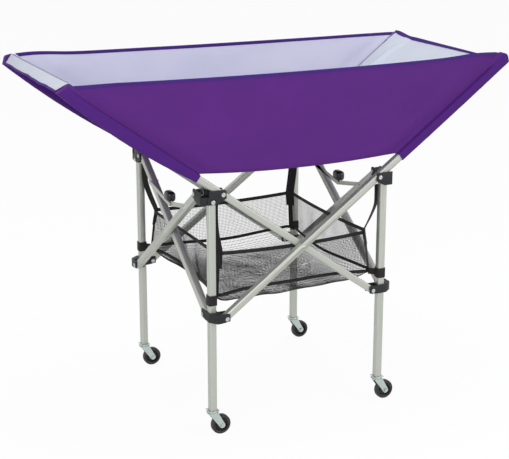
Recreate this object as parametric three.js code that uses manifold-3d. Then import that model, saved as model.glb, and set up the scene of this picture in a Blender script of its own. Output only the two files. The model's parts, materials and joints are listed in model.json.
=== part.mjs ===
// Folding ball cart: four castered legs joined by crossed arms on every side, a fabric hammock
// stretched between the four long arm ends, and a mesh basket slung between the legs.
// Millimetres, +Z up, +X along the hammock. Origin: middle of the base, on the floor.
import * as THREE from 'three';
import { mergeVertices } from 'three/addons/utils/BufferGeometryUtils.js';
import Module from 'manifold-3d';

const wasm = await Module();
wasm.setup();

// Frame
const LEG_SPACING = 487;
const TUBE = 19;
const TUBE_ROUND = 3.2;
const TUBE_WALL = 1.4;
const ARM_WIDE = 18;
const LEG_BOTTOM_Z = 69;
const UPPER_PIVOT_Z = 633;
const LOWER_PIVOT_Z = 319.65;
const PIVOT_OFFSET = 27.3;
const POLE_REACH = 466;
const ARM_END_MARGIN = 9;
const GAP = 0.3;

// Brackets and sliders
const PLATE = 3.2;
const EAR_ROUND = 9;
const ROOF_DROP = 3;
const ROOF_THICK = 3;
const BRACKET_ABOVE = 12;
const BRACKET_BELOW = 22.5;
const BRACKET_CHAMFER = 13;
const SLIDER_ABOVE = 13;
const SLIDER_BELOW = 10;
const SLIDER_CHAMFER = 3;
const SLIDER_FACE_START = 2;
const ARRIS = 3;

// Rivets and pins
const RIVET = 6;
const RIVET_BORE = 6.6;
const RIVET_HEAD = 10;
const RIVET_HEAD_THICK = 2;

// Locking stays
const STAY_REACH = 171;
const STAY_DROP_SHARE = 0.265;
const STAY_WIDE = 11;
const STAY_THICK = 2.7;
const KNOB_WIDE = 26;
const KNOB_DEEP = 20;
const KNOB_TALL = 27;
const KNOB_RISE = 20;
const KNOB_FLARE = 5;
const KNOB_SLOT_RISE = 9;

// Casters
const WHEEL = 51;
const WHEEL_THICK = 17;
const WHEEL_ROUND = 4;
const HUB_RECESS = 2.5;
const HUB_RADIUS = 15;
const AXLE = 6;
const AXLE_BORE = 6.6;
const AXLE_HEAD = 10;
const AXLE_HEAD_THICK = 2.5;
const HEX_SIDES = 6;
const TRAIL = 22;
const FORK_PLATE = 2;
const FORK_DISC = 30;
const FORK_DISC_THICK = 3;
const FORK_EYE = 7.5;
const FORK_SIDE_SHARE = 0.8;
const EYE_FROM = 1.25 * Math.PI;
const EYE_TO = 2.1 * Math.PI;
const RACE = 28;
const RACE_THICK = 4;
const TOP_PLATE = 27;
const TOP_PLATE_THICK = 2;
const KINGPIN = 8;
const KINGPIN_BORE = 9;
const KINGPIN_HEAD = 13;
const KINGPIN_HEAD_THICK = 3;
const PLUG_LONG = 30;

// Hammock
const SLEEVE_START = 78;
const SLEEVE_END_TOP = 472;
const SLEEVE_END_IN_LINE = 488;
const SLEEVE_END_OUTSIDE = 478;
const SLEEVE_WALL = 1.3;
const SLEEVE_TOP_LOW = 11.3;
const SLEEVE_TOP_HIGH = 22.2;
const CLOTH = 1.5;
const LIP_DROP = 34;
const FLOOR_SAG = 10;
const FLOOR_DISH = 10;
const END_SAG_LEFT = 6;
const END_SAG_RIGHT = 12;
const FOLD_SHARE = 0.2;
const FOLDS = 3;
const WALL_FOLD = 3;

// Basket
const BASKET_INSET = 25;
const BASKET_DEEP = 111;
const BASKET_BELLY = 32;
const BASKET_CORNER = 14;
const FLOOR_DROP = 4;
const CHAMFER_SHARE = 0.4;
const EDGE_INSET = 15;
const EDGE_BOW = 26;
const RIM_SAG_FRONT = 9;
const RIM_SAG = 3;
const RIM_BOW = 5;
const NET = 1.5;
const STRAP_WIDE = 25;
const STRAP_THICK = 1.6;
const STRAP_TOP_Z = 604;
const STRAP_LAP = 8;
const LOOP_ABOVE_PIVOT = 44.4;
const EDGE_ABOVE_LOOP = 2;
const LOOP_TALL = 26;
const LOOP_THICK = 2;
const TONGUE_WIDE = 16;
const TONGUE_TALL = 16;

// Resolution
const ROUND_STEPS = 12;
const CORNER_STEPS = 2;
const WHEEL_STEPS = 28;
const WALL_GRID = [16, 6];
const END_GRID = [8, 10];
const RIDGE_ROW = 9;
const FLOOR_GRID = [12, 6];
const BASKET_SIDE_STEPS = 6;

// Worked out from the sizes above
const halfSpacing = LEG_SPACING / 2;
const halfTube = TUBE / 2;
const channel = halfTube + GAP;
const socket = channel + PLATE;
const armPitch = TUBE + 2 * GAP;
const pivotSpan = LEG_SPACING - 2 * PIVOT_OFFSET;
const armRise = UPPER_PIVOT_Z - LOWER_PIVOT_Z;
const armAngle = Math.atan2(armRise, pivotSpan);
const armBetweenPivots = Math.hypot(armRise, pivotSpan);
const crossingZ = LOWER_PIVOT_Z + armRise / 2;
const legTopZ = UPPER_PIVOT_Z - ROOF_DROP - ROOF_THICK - GAP;
const earReach = PIVOT_OFFSET + EAR_ROUND;
const wheelRadius = WHEEL / 2;
const loopZ = LOWER_PIVOT_Z + LOOP_ABOVE_PIVOT;
const edgeZ = loopZ + EDGE_ABOVE_LOOP;
const rimZ = edgeZ + BASKET_DEEP;
const trayZ = edgeZ - BASKET_BELLY;

// Colours and finishes
const finish = {
  aluminium: { color: 0xbabdb8, roughness: 0.38, metalness: 0.9 },
  nylon: { color: 0x23272a, roughness: 0.55, metalness: 0 },
  zinc: { color: 0xb5bcbb, roughness: 0.35, metalness: 0.95 },
  steel: { color: 0xc8cac8, roughness: 0.3, metalness: 0.95 },
  tyre: { color: 0x1a1a1a, roughness: 0.7, metalness: 0 },
  purple: { color: 0x5c2a85, roughness: 0.75, metalness: 0 },
  net: { color: 0x3a3634, roughness: 0.9, metalness: 0 },
  webbing: { color: 0x1c1818, roughness: 0.85, metalness: 0 },
};

const cart = new THREE.Group();

function addPiece(name, geometry, kind) {
  const mesh = new THREE.Mesh(geometry, new THREE.MeshStandardMaterial(finish[kind]));
  mesh.name = name;
  cart.add(mesh);
  return mesh;
}

// Solids

function toSolid(geometry) {
  const bare = geometry.clone();
  bare.deleteAttribute('normal');
  bare.deleteAttribute('uv');
  const merged = mergeVertices(bare);
  return new wasm.Manifold(new wasm.Mesh({
    numProp: 3,
    vertProperties: new Float32Array(merged.attributes.position.array),
    triVerts: new Uint32Array(merged.index.array),
  }));
}

function toGeometry(solid) {
  const { vertProperties, triVerts } = solid.getMesh();
  const geometry = new THREE.BufferGeometry();
  geometry.setAttribute('position', new THREE.BufferAttribute(new Float32Array(vertProperties), 3));
  geometry.setIndex(new THREE.BufferAttribute(new Uint32Array(triVerts), 1));
  geometry.computeVertexNormals();
  return geometry;
}

function join(shapes) {
  return toGeometry(shapes.map(toSolid).reduce((whole, next) => whole.add(next)));
}

function cut(base, tools) {
  return toGeometry(tools.map(toSolid).reduce((whole, tool) => whole.subtract(tool), toSolid(base)));
}

function block(x0, x1, y0, y1, z0, z1) {
  const box = new THREE.BoxGeometry(x1 - x0, y1 - y0, z1 - z0);
  return box.translate((x0 + x1) / 2, (y0 + y1) / 2, (z0 + z1) / 2);
}

// A round bar along the Y axis from y0 to y1, centred at x, z
function rodAlongY(diameter, x, z, y0, y1, steps = ROUND_STEPS) {
  const rod = new THREE.CylinderGeometry(diameter / 2, diameter / 2, y1 - y0, steps);
  return rod.translate(x, (y0 + y1) / 2, z);
}

function rodAlongZ(diameter, z0, z1, steps = ROUND_STEPS) {
  const rod = new THREE.CylinderGeometry(diameter / 2, diameter / 2, z1 - z0, steps);
  return rod.rotateX(Math.PI / 2).translate(0, 0, (z0 + z1) / 2);
}

// A flat outline drawn in X and Z, given thickness along Y from y0 to y1
function plateAcrossY(points, y0, y1, holes = []) {
  const shape = new THREE.Shape(points.map(([x, z]) => new THREE.Vector2(x, z)));
  for (const [x, z, diameter] of holes) {
    shape.holes.push(new THREE.Path().absarc(x, z, diameter / 2, 0, 2 * Math.PI, true));
  }
  const plate = new THREE.ExtrudeGeometry(shape, {
    depth: y1 - y0, bevelEnabled: false, curveSegments: ROUND_STEPS / 2,
  });
  return plate.rotateX(Math.PI / 2).translate(0, y1, 0);
}

// A flat outline drawn in X and Y, given height from z0 to z1
function prismAlongZ(points, z0, z1) {
  const shape = new THREE.Shape(points.map(([x, y]) => new THREE.Vector2(x, y)));
  const prism = new THREE.ExtrudeGeometry(shape, { depth: z1 - z0, bevelEnabled: false });
  return prism.translate(0, 0, z0);
}

// Swaps X and Y, which turns a piece drawn for the long side into one for the short side
function swapSides(geometry) {
  return flipFaces(geometry.applyMatrix4(new THREE.Matrix4().set(
    0, 1, 0, 0, 1, 0, 0, 0, 0, 0, 1, 0, 0, 0, 0, 1)));
}

function flipFaces(geometry) {
  const flipped = geometry.index ? geometry : mergeVertices(geometry);
  const order = flipped.index.array;
  for (let i = 0; i < order.length; i += 3) {
    [order[i], order[i + 1]] = [order[i + 1], order[i]];
  }
  flipped.computeVertexNormals();
  return flipped;
}

// Mirrors a piece to one corner: sx and sy are +1 on the front left leg
function toCorner(geometry, sx, sy) {
  const placed = geometry.clone().scale(sx, sy, 1);
  placed.translate(-sx * halfSpacing, -sy * halfSpacing, 0);
  return sx * sy < 0 ? flipFaces(placed) : placed;
}

// A closed sheet between two grids: pointAt gives one face, and offset leads to the other
function slab(pointAt, offset, across, along) {
  const positions = [];
  const faces = [];
  const row = across + 1;
  const second = row * (along + 1);
  for (const shift of [new THREE.Vector3(), offset]) {
    for (let j = 0; j <= along; j += 1) {
      for (let i = 0; i <= across; i += 1) {
        positions.push(...pointAt(i / across, j / along).add(shift).toArray());
      }
    }
  }
  const quad = (a, b, c, d) => faces.push(a, b, c, a, c, d);
  for (let j = 0; j < along; j += 1) {
    for (let i = 0; i < across; i += 1) {
      const at = j * row + i;
      quad(at, at + 1, at + row + 1, at + row);
      quad(second + at, second + at + row, second + at + row + 1, second + at + 1);
    }
  }
  for (let i = 0; i < across; i += 1) {
    const top = along * row + i;
    quad(i + 1, i, second + i, second + i + 1);
    quad(top, top + 1, second + top + 1, second + top);
  }
  for (let j = 0; j < along; j += 1) {
    const left = j * row;
    const right = left + across;
    quad(left, left + row, second + left + row, second + left);
    quad(right + row, right, second + right, second + right + row);
  }
  const geometry = new THREE.BufferGeometry();
  geometry.setAttribute('position', new THREE.Float32BufferAttribute(positions, 3));
  geometry.setIndex(faces);
  const volume = toSolid(geometry).volume();
  geometry.computeVertexNormals();
  return volume < 0 ? flipFaces(geometry) : geometry;
}

// Square tube with rounded edges, along Z
function squareOutline(width, depth, radius) {
  const x = width / 2 - radius;
  const y = depth / 2 - radius;
  const points = [];
  [[x, y, 0], [-x, y, 1], [-x, -y, 2], [x, -y, 3]].forEach(([cx, cy, quarter]) => {
    for (let step = 0; step <= CORNER_STEPS; step += 1) {
      const angle = (quarter + step / CORNER_STEPS) * Math.PI / 2;
      points.push(new THREE.Vector2(cx + radius * Math.cos(angle), cy + radius * Math.sin(angle)));
    }
  });
  return points;
}

function squareTube(width, depth, z0, z1) {
  const shape = new THREE.Shape(squareOutline(width, depth, TUBE_ROUND));
  const x = width / 2 - TUBE_WALL;
  const y = depth / 2 - TUBE_WALL;
  shape.holes.push(new THREE.Path([
    new THREE.Vector2(x, y), new THREE.Vector2(x, -y),
    new THREE.Vector2(-x, -y), new THREE.Vector2(-x, y),
  ]));
  const tube = new THREE.ExtrudeGeometry(shape, { depth: z1 - z0, bevelEnabled: false });
  return tube.translate(0, 0, z0);
}

// The four corners. sx and sy point from the leg to the middle of the cart. On the front left and
// back right legs the long-side arm runs inside at the top, and on the other two outside.
const corners = [
  { place: 'front_left', sx: 1, sy: 1, longInsideAtTop: true },
  { place: 'front_right', sx: -1, sy: 1, longInsideAtTop: false },
  { place: 'back_left', sx: 1, sy: -1, longInsideAtTop: false },
  { place: 'back_right', sx: -1, sy: -1, longInsideAtTop: true },
];

// Legs: square aluminium tube with rounded edges

for (const { place, sx, sy } of corners) {
  addPiece(`leg_${place}`, toCorner(squareTube(TUBE, TUBE, LEG_BOTTOM_Z, legTopZ), sx, sy), 'aluminium');
}

// Corner brackets: a moulded socket round the leg with two pairs of ears at right angles. A pair
// is in line with the leg, or outside it by one arm. The rivets are part of the moulding.

// Ears for the arm along X, around the pivot at height 0. The outer plate begins at the given
// start. The other plate of an outside pair begins at the leg.
function earPair({ outside, start, top, bottom, chamfer }) {
  const middle = outside ? -armPitch : 0;
  const outline = [
    [start, -bottom], [socket, -bottom], [earReach, chamfer - bottom],
    [earReach, top - ARRIS], [earReach - ARRIS, top], [start, top],
  ];
  const innerOutline = outline.map(([x, z]) => [outside ? Math.max(x, channel) : x, z]);
  return [
    plateAcrossY(outline, middle - channel - PLATE, middle - channel),
    plateAcrossY(innerOutline, middle + channel, middle + channel + PLATE),
    rodAlongY(RIVET, PIVOT_OFFSET, 0, middle - channel - PLATE, middle + channel + PLATE),
    rodAlongY(RIVET_HEAD, PIVOT_OFFSET, 0,
      middle - channel - PLATE - RIVET_HEAD_THICK, middle - channel - PLATE / 2),
    rodAlongY(RIVET_HEAD, PIVOT_OFFSET, 0,
      middle + channel + PLATE / 2, middle + channel + PLATE + RIVET_HEAD_THICK),
  ];
}

// Filling between the leg socket and an outside ear, its corner cut off where the face starts late
function earBridge({ back, start, bottom, bodyTop }) {
  const face = -armPitch - socket;
  return prismAlongZ([
    [back, -channel], [back, start > back ? -socket : face], [start, face],
    [socket, face], [socket, -channel],
  ], -bottom, bodyTop);
}

function bracket({ longOutside, back, start, top, bottom, chamfer, bodyTop, roof }) {
  const pair = (outside) => earPair({ outside, start: outside ? start : -channel, top, bottom, chamfer });
  const bridge = earBridge({ back, start, bottom, bodyTop });
  const solids = [
    block(-socket, socket, -socket, socket, -bottom, bodyTop),
    ...pair(longOutside),
    ...pair(!longOutside).map(swapSides),
    longOutside ? bridge : swapSides(bridge),
  ];
  const boreTop = roof ? bodyTop - ROOF_THICK : bodyTop + GAP;
  const bore = block(-channel, channel, -channel, channel, -bottom - GAP, boreTop);
  return cut(join(solids), [bore]);
}

for (const { place, sx, sy, longInsideAtTop } of corners) {
  const topBracket = bracket({
    longOutside: !longInsideAtTop,
    back: -channel,
    start: -channel,
    top: BRACKET_ABOVE,
    bottom: BRACKET_BELOW,
    chamfer: BRACKET_CHAMFER,
    bodyTop: -ROOF_DROP,
    roof: true,
  });
  topBracket.translate(0, 0, UPPER_PIVOT_Z);
  addPiece(`top_bracket_${place}`, toCorner(topBracket, sx, sy), 'nylon');

  const slider = bracket({
    longOutside: longInsideAtTop,
    back: -socket,
    start: SLIDER_FACE_START,
    top: SLIDER_ABOVE,
    bottom: SLIDER_BELOW,
    chamfer: SLIDER_CHAMFER,
    bodyTop: SLIDER_ABOVE,
    roof: false,
  });
  addPiece(`slider_${place}`, toCorner(slider.translate(0, 0, LOWER_PIVOT_Z), sx, sy), 'nylon');
}

// Arms: aluminium tube, bored for its rivets. Each is drawn lying along X from its lower pivot,
// then turned to its slope. A long-side arm runs on past its upper pivot as a hammock pole.

const crossAt = armBetweenPivots / 2;

function lyingArm(beyondUpper, bores) {
  const tube = squareTube(ARM_WIDE, TUBE, -ARM_END_MARGIN, armBetweenPivots + beyondUpper);
  tube.rotateY(Math.PI / 2);
  const holes = bores.map((at) => rodAlongY(RIVET_BORE, at, 0, -TUBE, TUBE));
  return cut(tube, holes);
}

// The rivet at the crossing is fast in the outside arm and passes through the inside one
function crossingRivet() {
  return [
    rodAlongY(RIVET, crossAt, 0, -halfTube, armPitch + halfTube + GAP + RIVET_HEAD_THICK / 2),
    rodAlongY(RIVET_HEAD, crossAt, 0,
      armPitch + halfTube + GAP, armPitch + halfTube + GAP + RIVET_HEAD_THICK),
    rodAlongY(RIVET_HEAD, crossAt, 0, -halfTube - RIVET_HEAD_THICK, -halfTube + TUBE_WALL / 2),
  ];
}

// Turns a lying arm to its slope, with its lower pivot over the given slider, rising toward +X
function slopeArm(geometry, outside) {
  geometry.rotateY(-armAngle);
  return geometry.translate(PIVOT_OFFSET, outside ? -armPitch : 0, LOWER_PIVOT_Z);
}

// The rivet of a stay on the outside arm, with its head on the arm's outer face
function outsideStayRivet() {
  const at = crossAt + STAY_REACH;
  return [
    rodAlongY(RIVET, at, 0, -halfTube, halfTube + GAP),
    rodAlongY(RIVET_HEAD, at, 0, -halfTube - RIVET_HEAD_THICK, -halfTube + TUBE_WALL / 2),
  ];
}

function crossedArm({ outside, pole, stay }) {
  const bores = [0, armBetweenPivots];
  if (!outside) bores.push(crossAt);
  if (stay && !outside) bores.push(crossAt + STAY_REACH);
  const rivets = outside ? crossingRivet() : [];
  if (stay && outside) rivets.push(...outsideStayRivet());
  const arm = lyingArm(pole ? POLE_REACH : ARM_END_MARGIN, bores);
  return slopeArm(rivets.length > 0 ? join([arm, ...rivets]) : arm, outside);
}

for (const { place, sx, sy, longInsideAtTop } of corners) {
  const longArm = crossedArm({ outside: longInsideAtTop, pole: true, stay: false });
  addPiece(`long_arm_${place}`, toCorner(longArm, sx, sy), 'aluminium');
  const shortArm = swapSides(crossedArm({ outside: !longInsideAtTop, pole: false, stay: true }));
  addPiece(`short_arm_${place}`, toCorner(shortArm, sx, sy), 'aluminium');
}

// Locking stays: on each short side two flat bars meet under a moulded knob, just above the
// crossing. They lie between the planes of the two crossed arms.

const stayHalfSpan = STAY_REACH * Math.cos(armAngle);
const stayRise = STAY_REACH * Math.sin(armAngle);
const stayDrop = STAY_DROP_SHARE * stayRise;
const stayLength = Math.hypot(stayHalfSpan, stayDrop);
const stayJointZ = crossingZ + stayRise - stayDrop;
const stayOuterPlane = -halfTube - GAP;
const stayInnerPlane = stayOuterPlane + GAP;

// A flat bar with round ends, drawn along X from 0 to its length
function flatBar(y0, y1) {
  const radius = STAY_WIDE / 2;
  const shape = new THREE.Shape();
  shape.absarc(stayLength, 0, radius, -Math.PI / 2, Math.PI / 2, false);
  shape.absarc(0, 0, radius, Math.PI / 2, 3 * Math.PI / 2, false);
  const bar = new THREE.ExtrudeGeometry(shape, {
    depth: y1 - y0, bevelEnabled: false, curveSegments: ROUND_STEPS / 2,
  });
  return bar.rotateX(Math.PI / 2).translate(0, y1, 0);
}

// Both bars are drawn in the long-side pose, with Y pointing inward, hung from the arm at +X.
function hangStay(bar) {
  bar.rotateY(Math.PI - Math.atan2(stayDrop, stayHalfSpan));
  return bar.translate(stayHalfSpan, 0, crossingZ + stayRise);
}

// The bar of the inside arm. Its own rivet passes through that arm, and the pin at its other end
// passes through the other bar.
function insideStayBar() {
  const y0 = stayOuterPlane - STAY_THICK;
  const armFar = halfTube + GAP;
  return hangStay(join([
    flatBar(y0, stayOuterPlane),
    rodAlongY(RIVET, 0, 0, y0 + STAY_THICK / 2, armFar + RIVET_HEAD_THICK / 2),
    rodAlongY(RIVET_HEAD, 0, 0, armFar, armFar + RIVET_HEAD_THICK),
    rodAlongY(RIVET, stayLength, 0, y0, stayInnerPlane + STAY_THICK),
  ]));
}

// The bar of the outside arm, bored for the pin. Its end lies against the arm's own rivet, and the
// rivet's inner head is fast on the bar.
function outsideStayBar() {
  const y1 = stayInnerPlane + STAY_THICK;
  const bar = join([
    flatBar(stayInnerPlane, y1),
    rodAlongY(RIVET_HEAD, 0, 0, y1 - STAY_THICK / 2, y1 + RIVET_HEAD_THICK),
  ]);
  return hangStay(cut(bar, [rodAlongY(RIVET_BORE, stayLength, 0, stayInnerPlane - GAP, y1 + GAP)]));
}

// The knob stands over the joint with a cheek on either side of the two bars
function stayKnob() {
  const middle = (stayOuterPlane + stayInnerPlane) / 2;
  const y0 = middle - KNOB_DEEP / 2;
  const y1 = middle + KNOB_DEEP / 2;
  const half = KNOB_WIDE / 2;
  const low = stayJointZ + KNOB_RISE - KNOB_TALL / 2;
  const high = low + KNOB_TALL;
  const outline = [
    [-half + KNOB_FLARE, low - KNOB_FLARE], [half - KNOB_FLARE, low - KNOB_FLARE],
    [half - KNOB_FLARE, low], [half, low + KNOB_FLARE], [half, high - KNOB_FLARE],
    [half - KNOB_FLARE, high], [-half + KNOB_FLARE, high], [-half, high - KNOB_FLARE],
    [-half, low + KNOB_FLARE], [-half + KNOB_FLARE, low],
  ];
  const slot = block(-half, half, stayOuterPlane - STAY_THICK - GAP,
    stayInnerPlane + STAY_THICK + GAP, stayJointZ - KNOB_RISE, stayJointZ + KNOB_SLOT_RISE);
  return cut(plateAcrossY(outline, y0, y1), [slot]);
}

// The left side is drawn with the front left signs, and the right side is the same turned by half
// a turn. The bar on the inside arm hangs at the back on the left and at the front on the right.
for (const [side, turn] of [['left', 0], ['right', Math.PI]]) {
  const toSide = (geometry) => {
    const placed = swapSides(geometry).translate(-halfSpacing, 0, 0);
    return placed.rotateZ(turn);
  };
  const mirrorAlong = (geometry) => flipFaces(geometry.scale(-1, 1, 1));
  const inner = side === 'left' ? 'back_left' : 'front_right';
  const outer = side === 'left' ? 'front_left' : 'back_right';
  addPiece(`stay_bar_${inner}`, toSide(insideStayBar()), 'aluminium');
  addPiece(`stay_bar_${outer}`, toSide(mirrorAlong(outsideStayBar())), 'aluminium');
  addPiece(`stay_knob_${side}`, toSide(stayKnob()), 'nylon');
}

// Casters: zinc-plated swivel fork with a 2 inch wheel, its stem plugged into the leg

const plateBottomZ = LEG_BOTTOM_Z - GAP - TOP_PLATE_THICK;
const raceBottomZ = plateBottomZ - RACE_THICK;
const discTopZ = raceBottomZ - GAP;
const discBottomZ = discTopZ - FORK_DISC_THICK;
const headTopZ = discBottomZ - GAP;
const headBottomZ = headTopZ - KINGPIN_HEAD_THICK;
const forkInside = WHEEL_THICK / 2 + GAP + FORK_PLATE;

function casterStem() {
  const plug = halfTube - TUBE_WALL - GAP;
  const plate = TOP_PLATE / 2;
  return join([
    block(-plug, plug, -plug, plug, plateBottomZ, LEG_BOTTOM_Z + PLUG_LONG),
    block(-plate, plate, -plate, plate, plateBottomZ, plateBottomZ + TOP_PLATE_THICK),
    rodAlongZ(RACE, raceBottomZ, plateBottomZ + TOP_PLATE_THICK / 2),
    rodAlongZ(KINGPIN, headTopZ - KINGPIN_HEAD_THICK / 2, raceBottomZ + RACE_THICK / 2),
    rodAlongZ(KINGPIN_HEAD, headBottomZ, headTopZ),
  ]);
}

// One side of the fork: from the width of the disc down to the eye round the axle
function forkSide(y0) {
  const half = FORK_SIDE_SHARE * FORK_DISC / 2;
  const shape = new THREE.Shape();
  shape.moveTo(-half, discTopZ);
  shape.lineTo(-half, discBottomZ);
  shape.absarc(TRAIL, wheelRadius, FORK_EYE, EYE_FROM, EYE_TO, false);
  shape.lineTo(half, discBottomZ);
  shape.lineTo(half, discTopZ);
  shape.closePath();
  const side = new THREE.ExtrudeGeometry(shape, {
    depth: FORK_PLATE, bevelEnabled: false, curveSegments: ROUND_STEPS / 2,
  });
  return side.rotateX(Math.PI / 2).translate(0, y0 + FORK_PLATE, 0);
}

function casterFork() {
  const disc = rodAlongZ(FORK_DISC, discBottomZ, discTopZ);
  const sides = [forkSide(-forkInside - FORK_PLATE), forkSide(forkInside)];
  const kingpinHole = rodAlongZ(KINGPIN_BORE, discBottomZ - GAP, discTopZ + GAP);
  const axleHole = rodAlongY(AXLE_BORE, TRAIL, wheelRadius, -FORK_DISC, FORK_DISC);
  return cut(join([disc, ...sides]), [kingpinHole, axleHole]);
}

function casterWheel() {
  const half = WHEEL_THICK / 2;
  const bore = AXLE_BORE / 2;
  const profile = [
    [bore, -half], [HUB_RADIUS / 2, -half], [HUB_RADIUS, HUB_RECESS - half],
    [HUB_RADIUS + HUB_RECESS, -half], [wheelRadius - WHEEL_ROUND, -half],
    [wheelRadius, WHEEL_ROUND - half], [wheelRadius, half - WHEEL_ROUND],
    [wheelRadius - WHEEL_ROUND, half], [HUB_RADIUS + HUB_RECESS, half],
    [HUB_RADIUS, half - HUB_RECESS], [HUB_RADIUS / 2, half], [bore, half], [bore, -half],
  ].map(([r, y]) => new THREE.Vector2(r, y));
  return new THREE.LatheGeometry(profile, WHEEL_STEPS).translate(TRAIL, 0, wheelRadius);
}

function casterAxle() {
  const end = forkInside + FORK_PLATE + GAP;
  const head = [end, end + AXLE_HEAD_THICK];
  return join([
    rodAlongY(AXLE, TRAIL, wheelRadius, -end - AXLE_HEAD_THICK / 2, end + AXLE_HEAD_THICK / 2),
    rodAlongY(AXLE_HEAD, TRAIL, wheelRadius, ...head, HEX_SIDES),
    rodAlongY(AXLE_HEAD, TRAIL, wheelRadius, -head[1], -head[0], HEX_SIDES),
  ]);
}

for (const { place, sx, sy } of corners) {
  const toLeg = (geometry) => geometry.translate(-sx * halfSpacing, -sy * halfSpacing, 0);
  addPiece(`caster_stem_${place}`, toLeg(casterStem()), 'zinc');
  addPiece(`caster_fork_${place}`, toLeg(casterFork()), 'zinc');
  addPiece(`caster_wheel_${place}`, toLeg(casterWheel()), 'tyre');
  addPiece(`caster_axle_${place}`, toLeg(casterAxle()), 'steel');
}

// Hammock. Places on a pole are given as a distance along it from the upper pivot and a height
// square to it. The front left and back right poles lie in line with the legs, and the others
// one arm outside, so each long wall leans across by one arm.

const poleAlong = new THREE.Vector2(Math.cos(armAngle), Math.sin(armAngle));

function onPole(along, above) {
  const x = halfSpacing - PIVOT_OFFSET + along * poleAlong.x - above * poleAlong.y;
  const z = UPPER_PIVOT_Z + along * poleAlong.y + above * poleAlong.x;
  return new THREE.Vector2(x, z);
}

const sleeveHalf = channel + SLEEVE_WALL;
const sheetLow = SLEEVE_TOP_LOW + GAP;
const sheetHigh = SLEEVE_TOP_HIGH + GAP;
const ridgeAlong = SLEEVE_END_TOP + CLOTH;
const endBottom = onPole(SLEEVE_START, sheetLow + CLOTH);

// A sleeve: cloth tube round the pole, deeper toward the tip, where the seam allowance widens
function sleeve(sleeveEnd) {
  const below = -ARM_WIDE / 2 - GAP - SLEEVE_WALL;
  const outline = [
    onPole(SLEEVE_START, below), onPole(sleeveEnd, below),
    onPole(SLEEVE_END_TOP, SLEEVE_TOP_HIGH), onPole(SLEEVE_START, SLEEVE_TOP_LOW),
  ].map((p) => [p.x, p.y]);
  const body = plateAcrossY(outline, -sleeveHalf, sleeveHalf);
  const wide = ARM_WIDE / 2 + GAP;
  const bore = block(SLEEVE_START - TUBE, sleeveEnd + TUBE, -channel, channel, -wide, wide);
  bore.rotateY(-armAngle).translate(halfSpacing - PIVOT_OFFSET, 0, UPPER_PIVOT_Z);
  return cut(body, [bore]);
}

for (const { place, sx, sy, longInsideAtTop } of corners) {
  const outward = longInsideAtTop ? 0 : armPitch;
  const end = longInsideAtTop ? SLEEVE_END_IN_LINE : SLEEVE_END_OUTSIDE;
  const turned = sleeve(end).scale(-sx, 1, 1);
  const placed = sx > 0 ? flipFaces(turned) : turned;
  placed.translate(0, -sy * (halfSpacing + outward), 0);
  addPiece(`sleeve_${place}`, placed, 'purple');
}

// Middle line of the front wall, from the left pole in line with the legs to the right one outside
function frontWallY(x) {
  const share = THREE.MathUtils.clamp(0.5 + x / (2 * endBottom.x), 0, 1);
  return -halfSpacing - armPitch * share;
}

function wallBottomZ(x) {
  return endBottom.y + GAP - FLOOR_SAG * (1 - (x / endBottom.x) ** 2);
}

const endFold = (u, v) => Math.sin(FOLDS * Math.PI * v) * Math.sin(Math.PI * u);

// Long wall: from the floor's edge up to the straight rim, with long shallow folds
function longWall() {
  const low = onPole(SLEEVE_START, sheetLow + CLOTH + GAP);
  const high = onPole(ridgeAlong, sheetHigh + CLOTH + GAP);
  const pointAt = (u, v) => {
    const halfWidth = THREE.MathUtils.lerp(low.x, high.x, v);
    const x = (2 * u - 1) * halfWidth;
    const bottom = wallBottomZ(THREE.MathUtils.clamp(x, -endBottom.x, endBottom.x));
    const z = THREE.MathUtils.lerp(Math.min(bottom, low.y), high.y, v);
    const slope = frontWallY((2 * u - 1) * endBottom.x);
    const fold = WALL_FOLD * Math.sin(2 * Math.PI * v) * Math.sin(Math.PI * u);
    return new THREE.Vector3(x, slope - CLOTH / 2 + fold, z);
  };
  return slab(pointAt, new THREE.Vector3(0, CLOTH, 0), ...WALL_GRID);
}

// End wall: rides over both sleeves up to a ridge at the pole tips, then turns down as a lip. Its
// first and last columns lie flat on the sleeves, and the cloth between them hangs.
function endWall(sag) {
  const [columns, rows] = END_GRID;
  const ridgeShare = RIDGE_ROW / rows;
  const nearEdge = -halfSpacing - sleeveHalf;
  const farEdge = halfSpacing + armPitch + sleeveHalf;
  const onSleeve = 2 * sleeveHalf;
  const pointAt = (column, v) => {
    const u = THREE.MathUtils.clamp((column * columns - 1) / (columns - 2), 0, 1);
    let y = THREE.MathUtils.lerp(nearEdge + onSleeve, farEdge - onSleeve, u);
    if (column === 0) y = nearEdge;
    if (column === 1) y = farEdge;
    const hang = 4 * u * (1 - u);
    let along = THREE.MathUtils.lerp(SLEEVE_START, ridgeAlong, v / ridgeShare);
    let above = THREE.MathUtils.lerp(sheetLow, sheetHigh, v / ridgeShare);
    if (v > ridgeShare) {
      const past = (v - ridgeShare) / (1 - ridgeShare);
      const end = THREE.MathUtils.lerp(SLEEVE_END_IN_LINE, SLEEVE_END_OUTSIDE, u);
      along = ridgeAlong + past * (end - SLEEVE_END_TOP);
      above = sheetHigh - past * LIP_DROP;
    }
    const belly = sag * hang * Math.sqrt(Math.sin(Math.PI * Math.min(v / ridgeShare, 1)));
    const fold = sag * FOLD_SHARE * hang * endFold(u, v);
    const point = onPole(along, above - belly - fold);
    return new THREE.Vector3(-point.x, y, point.y);
  };
  const offset = new THREE.Vector3(poleAlong.y - poleAlong.x, 0, poleAlong.x + poleAlong.y);
  return slab(pointAt, offset.multiplyScalar(CLOTH * Math.SQRT1_2), columns, rows);
}

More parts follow.
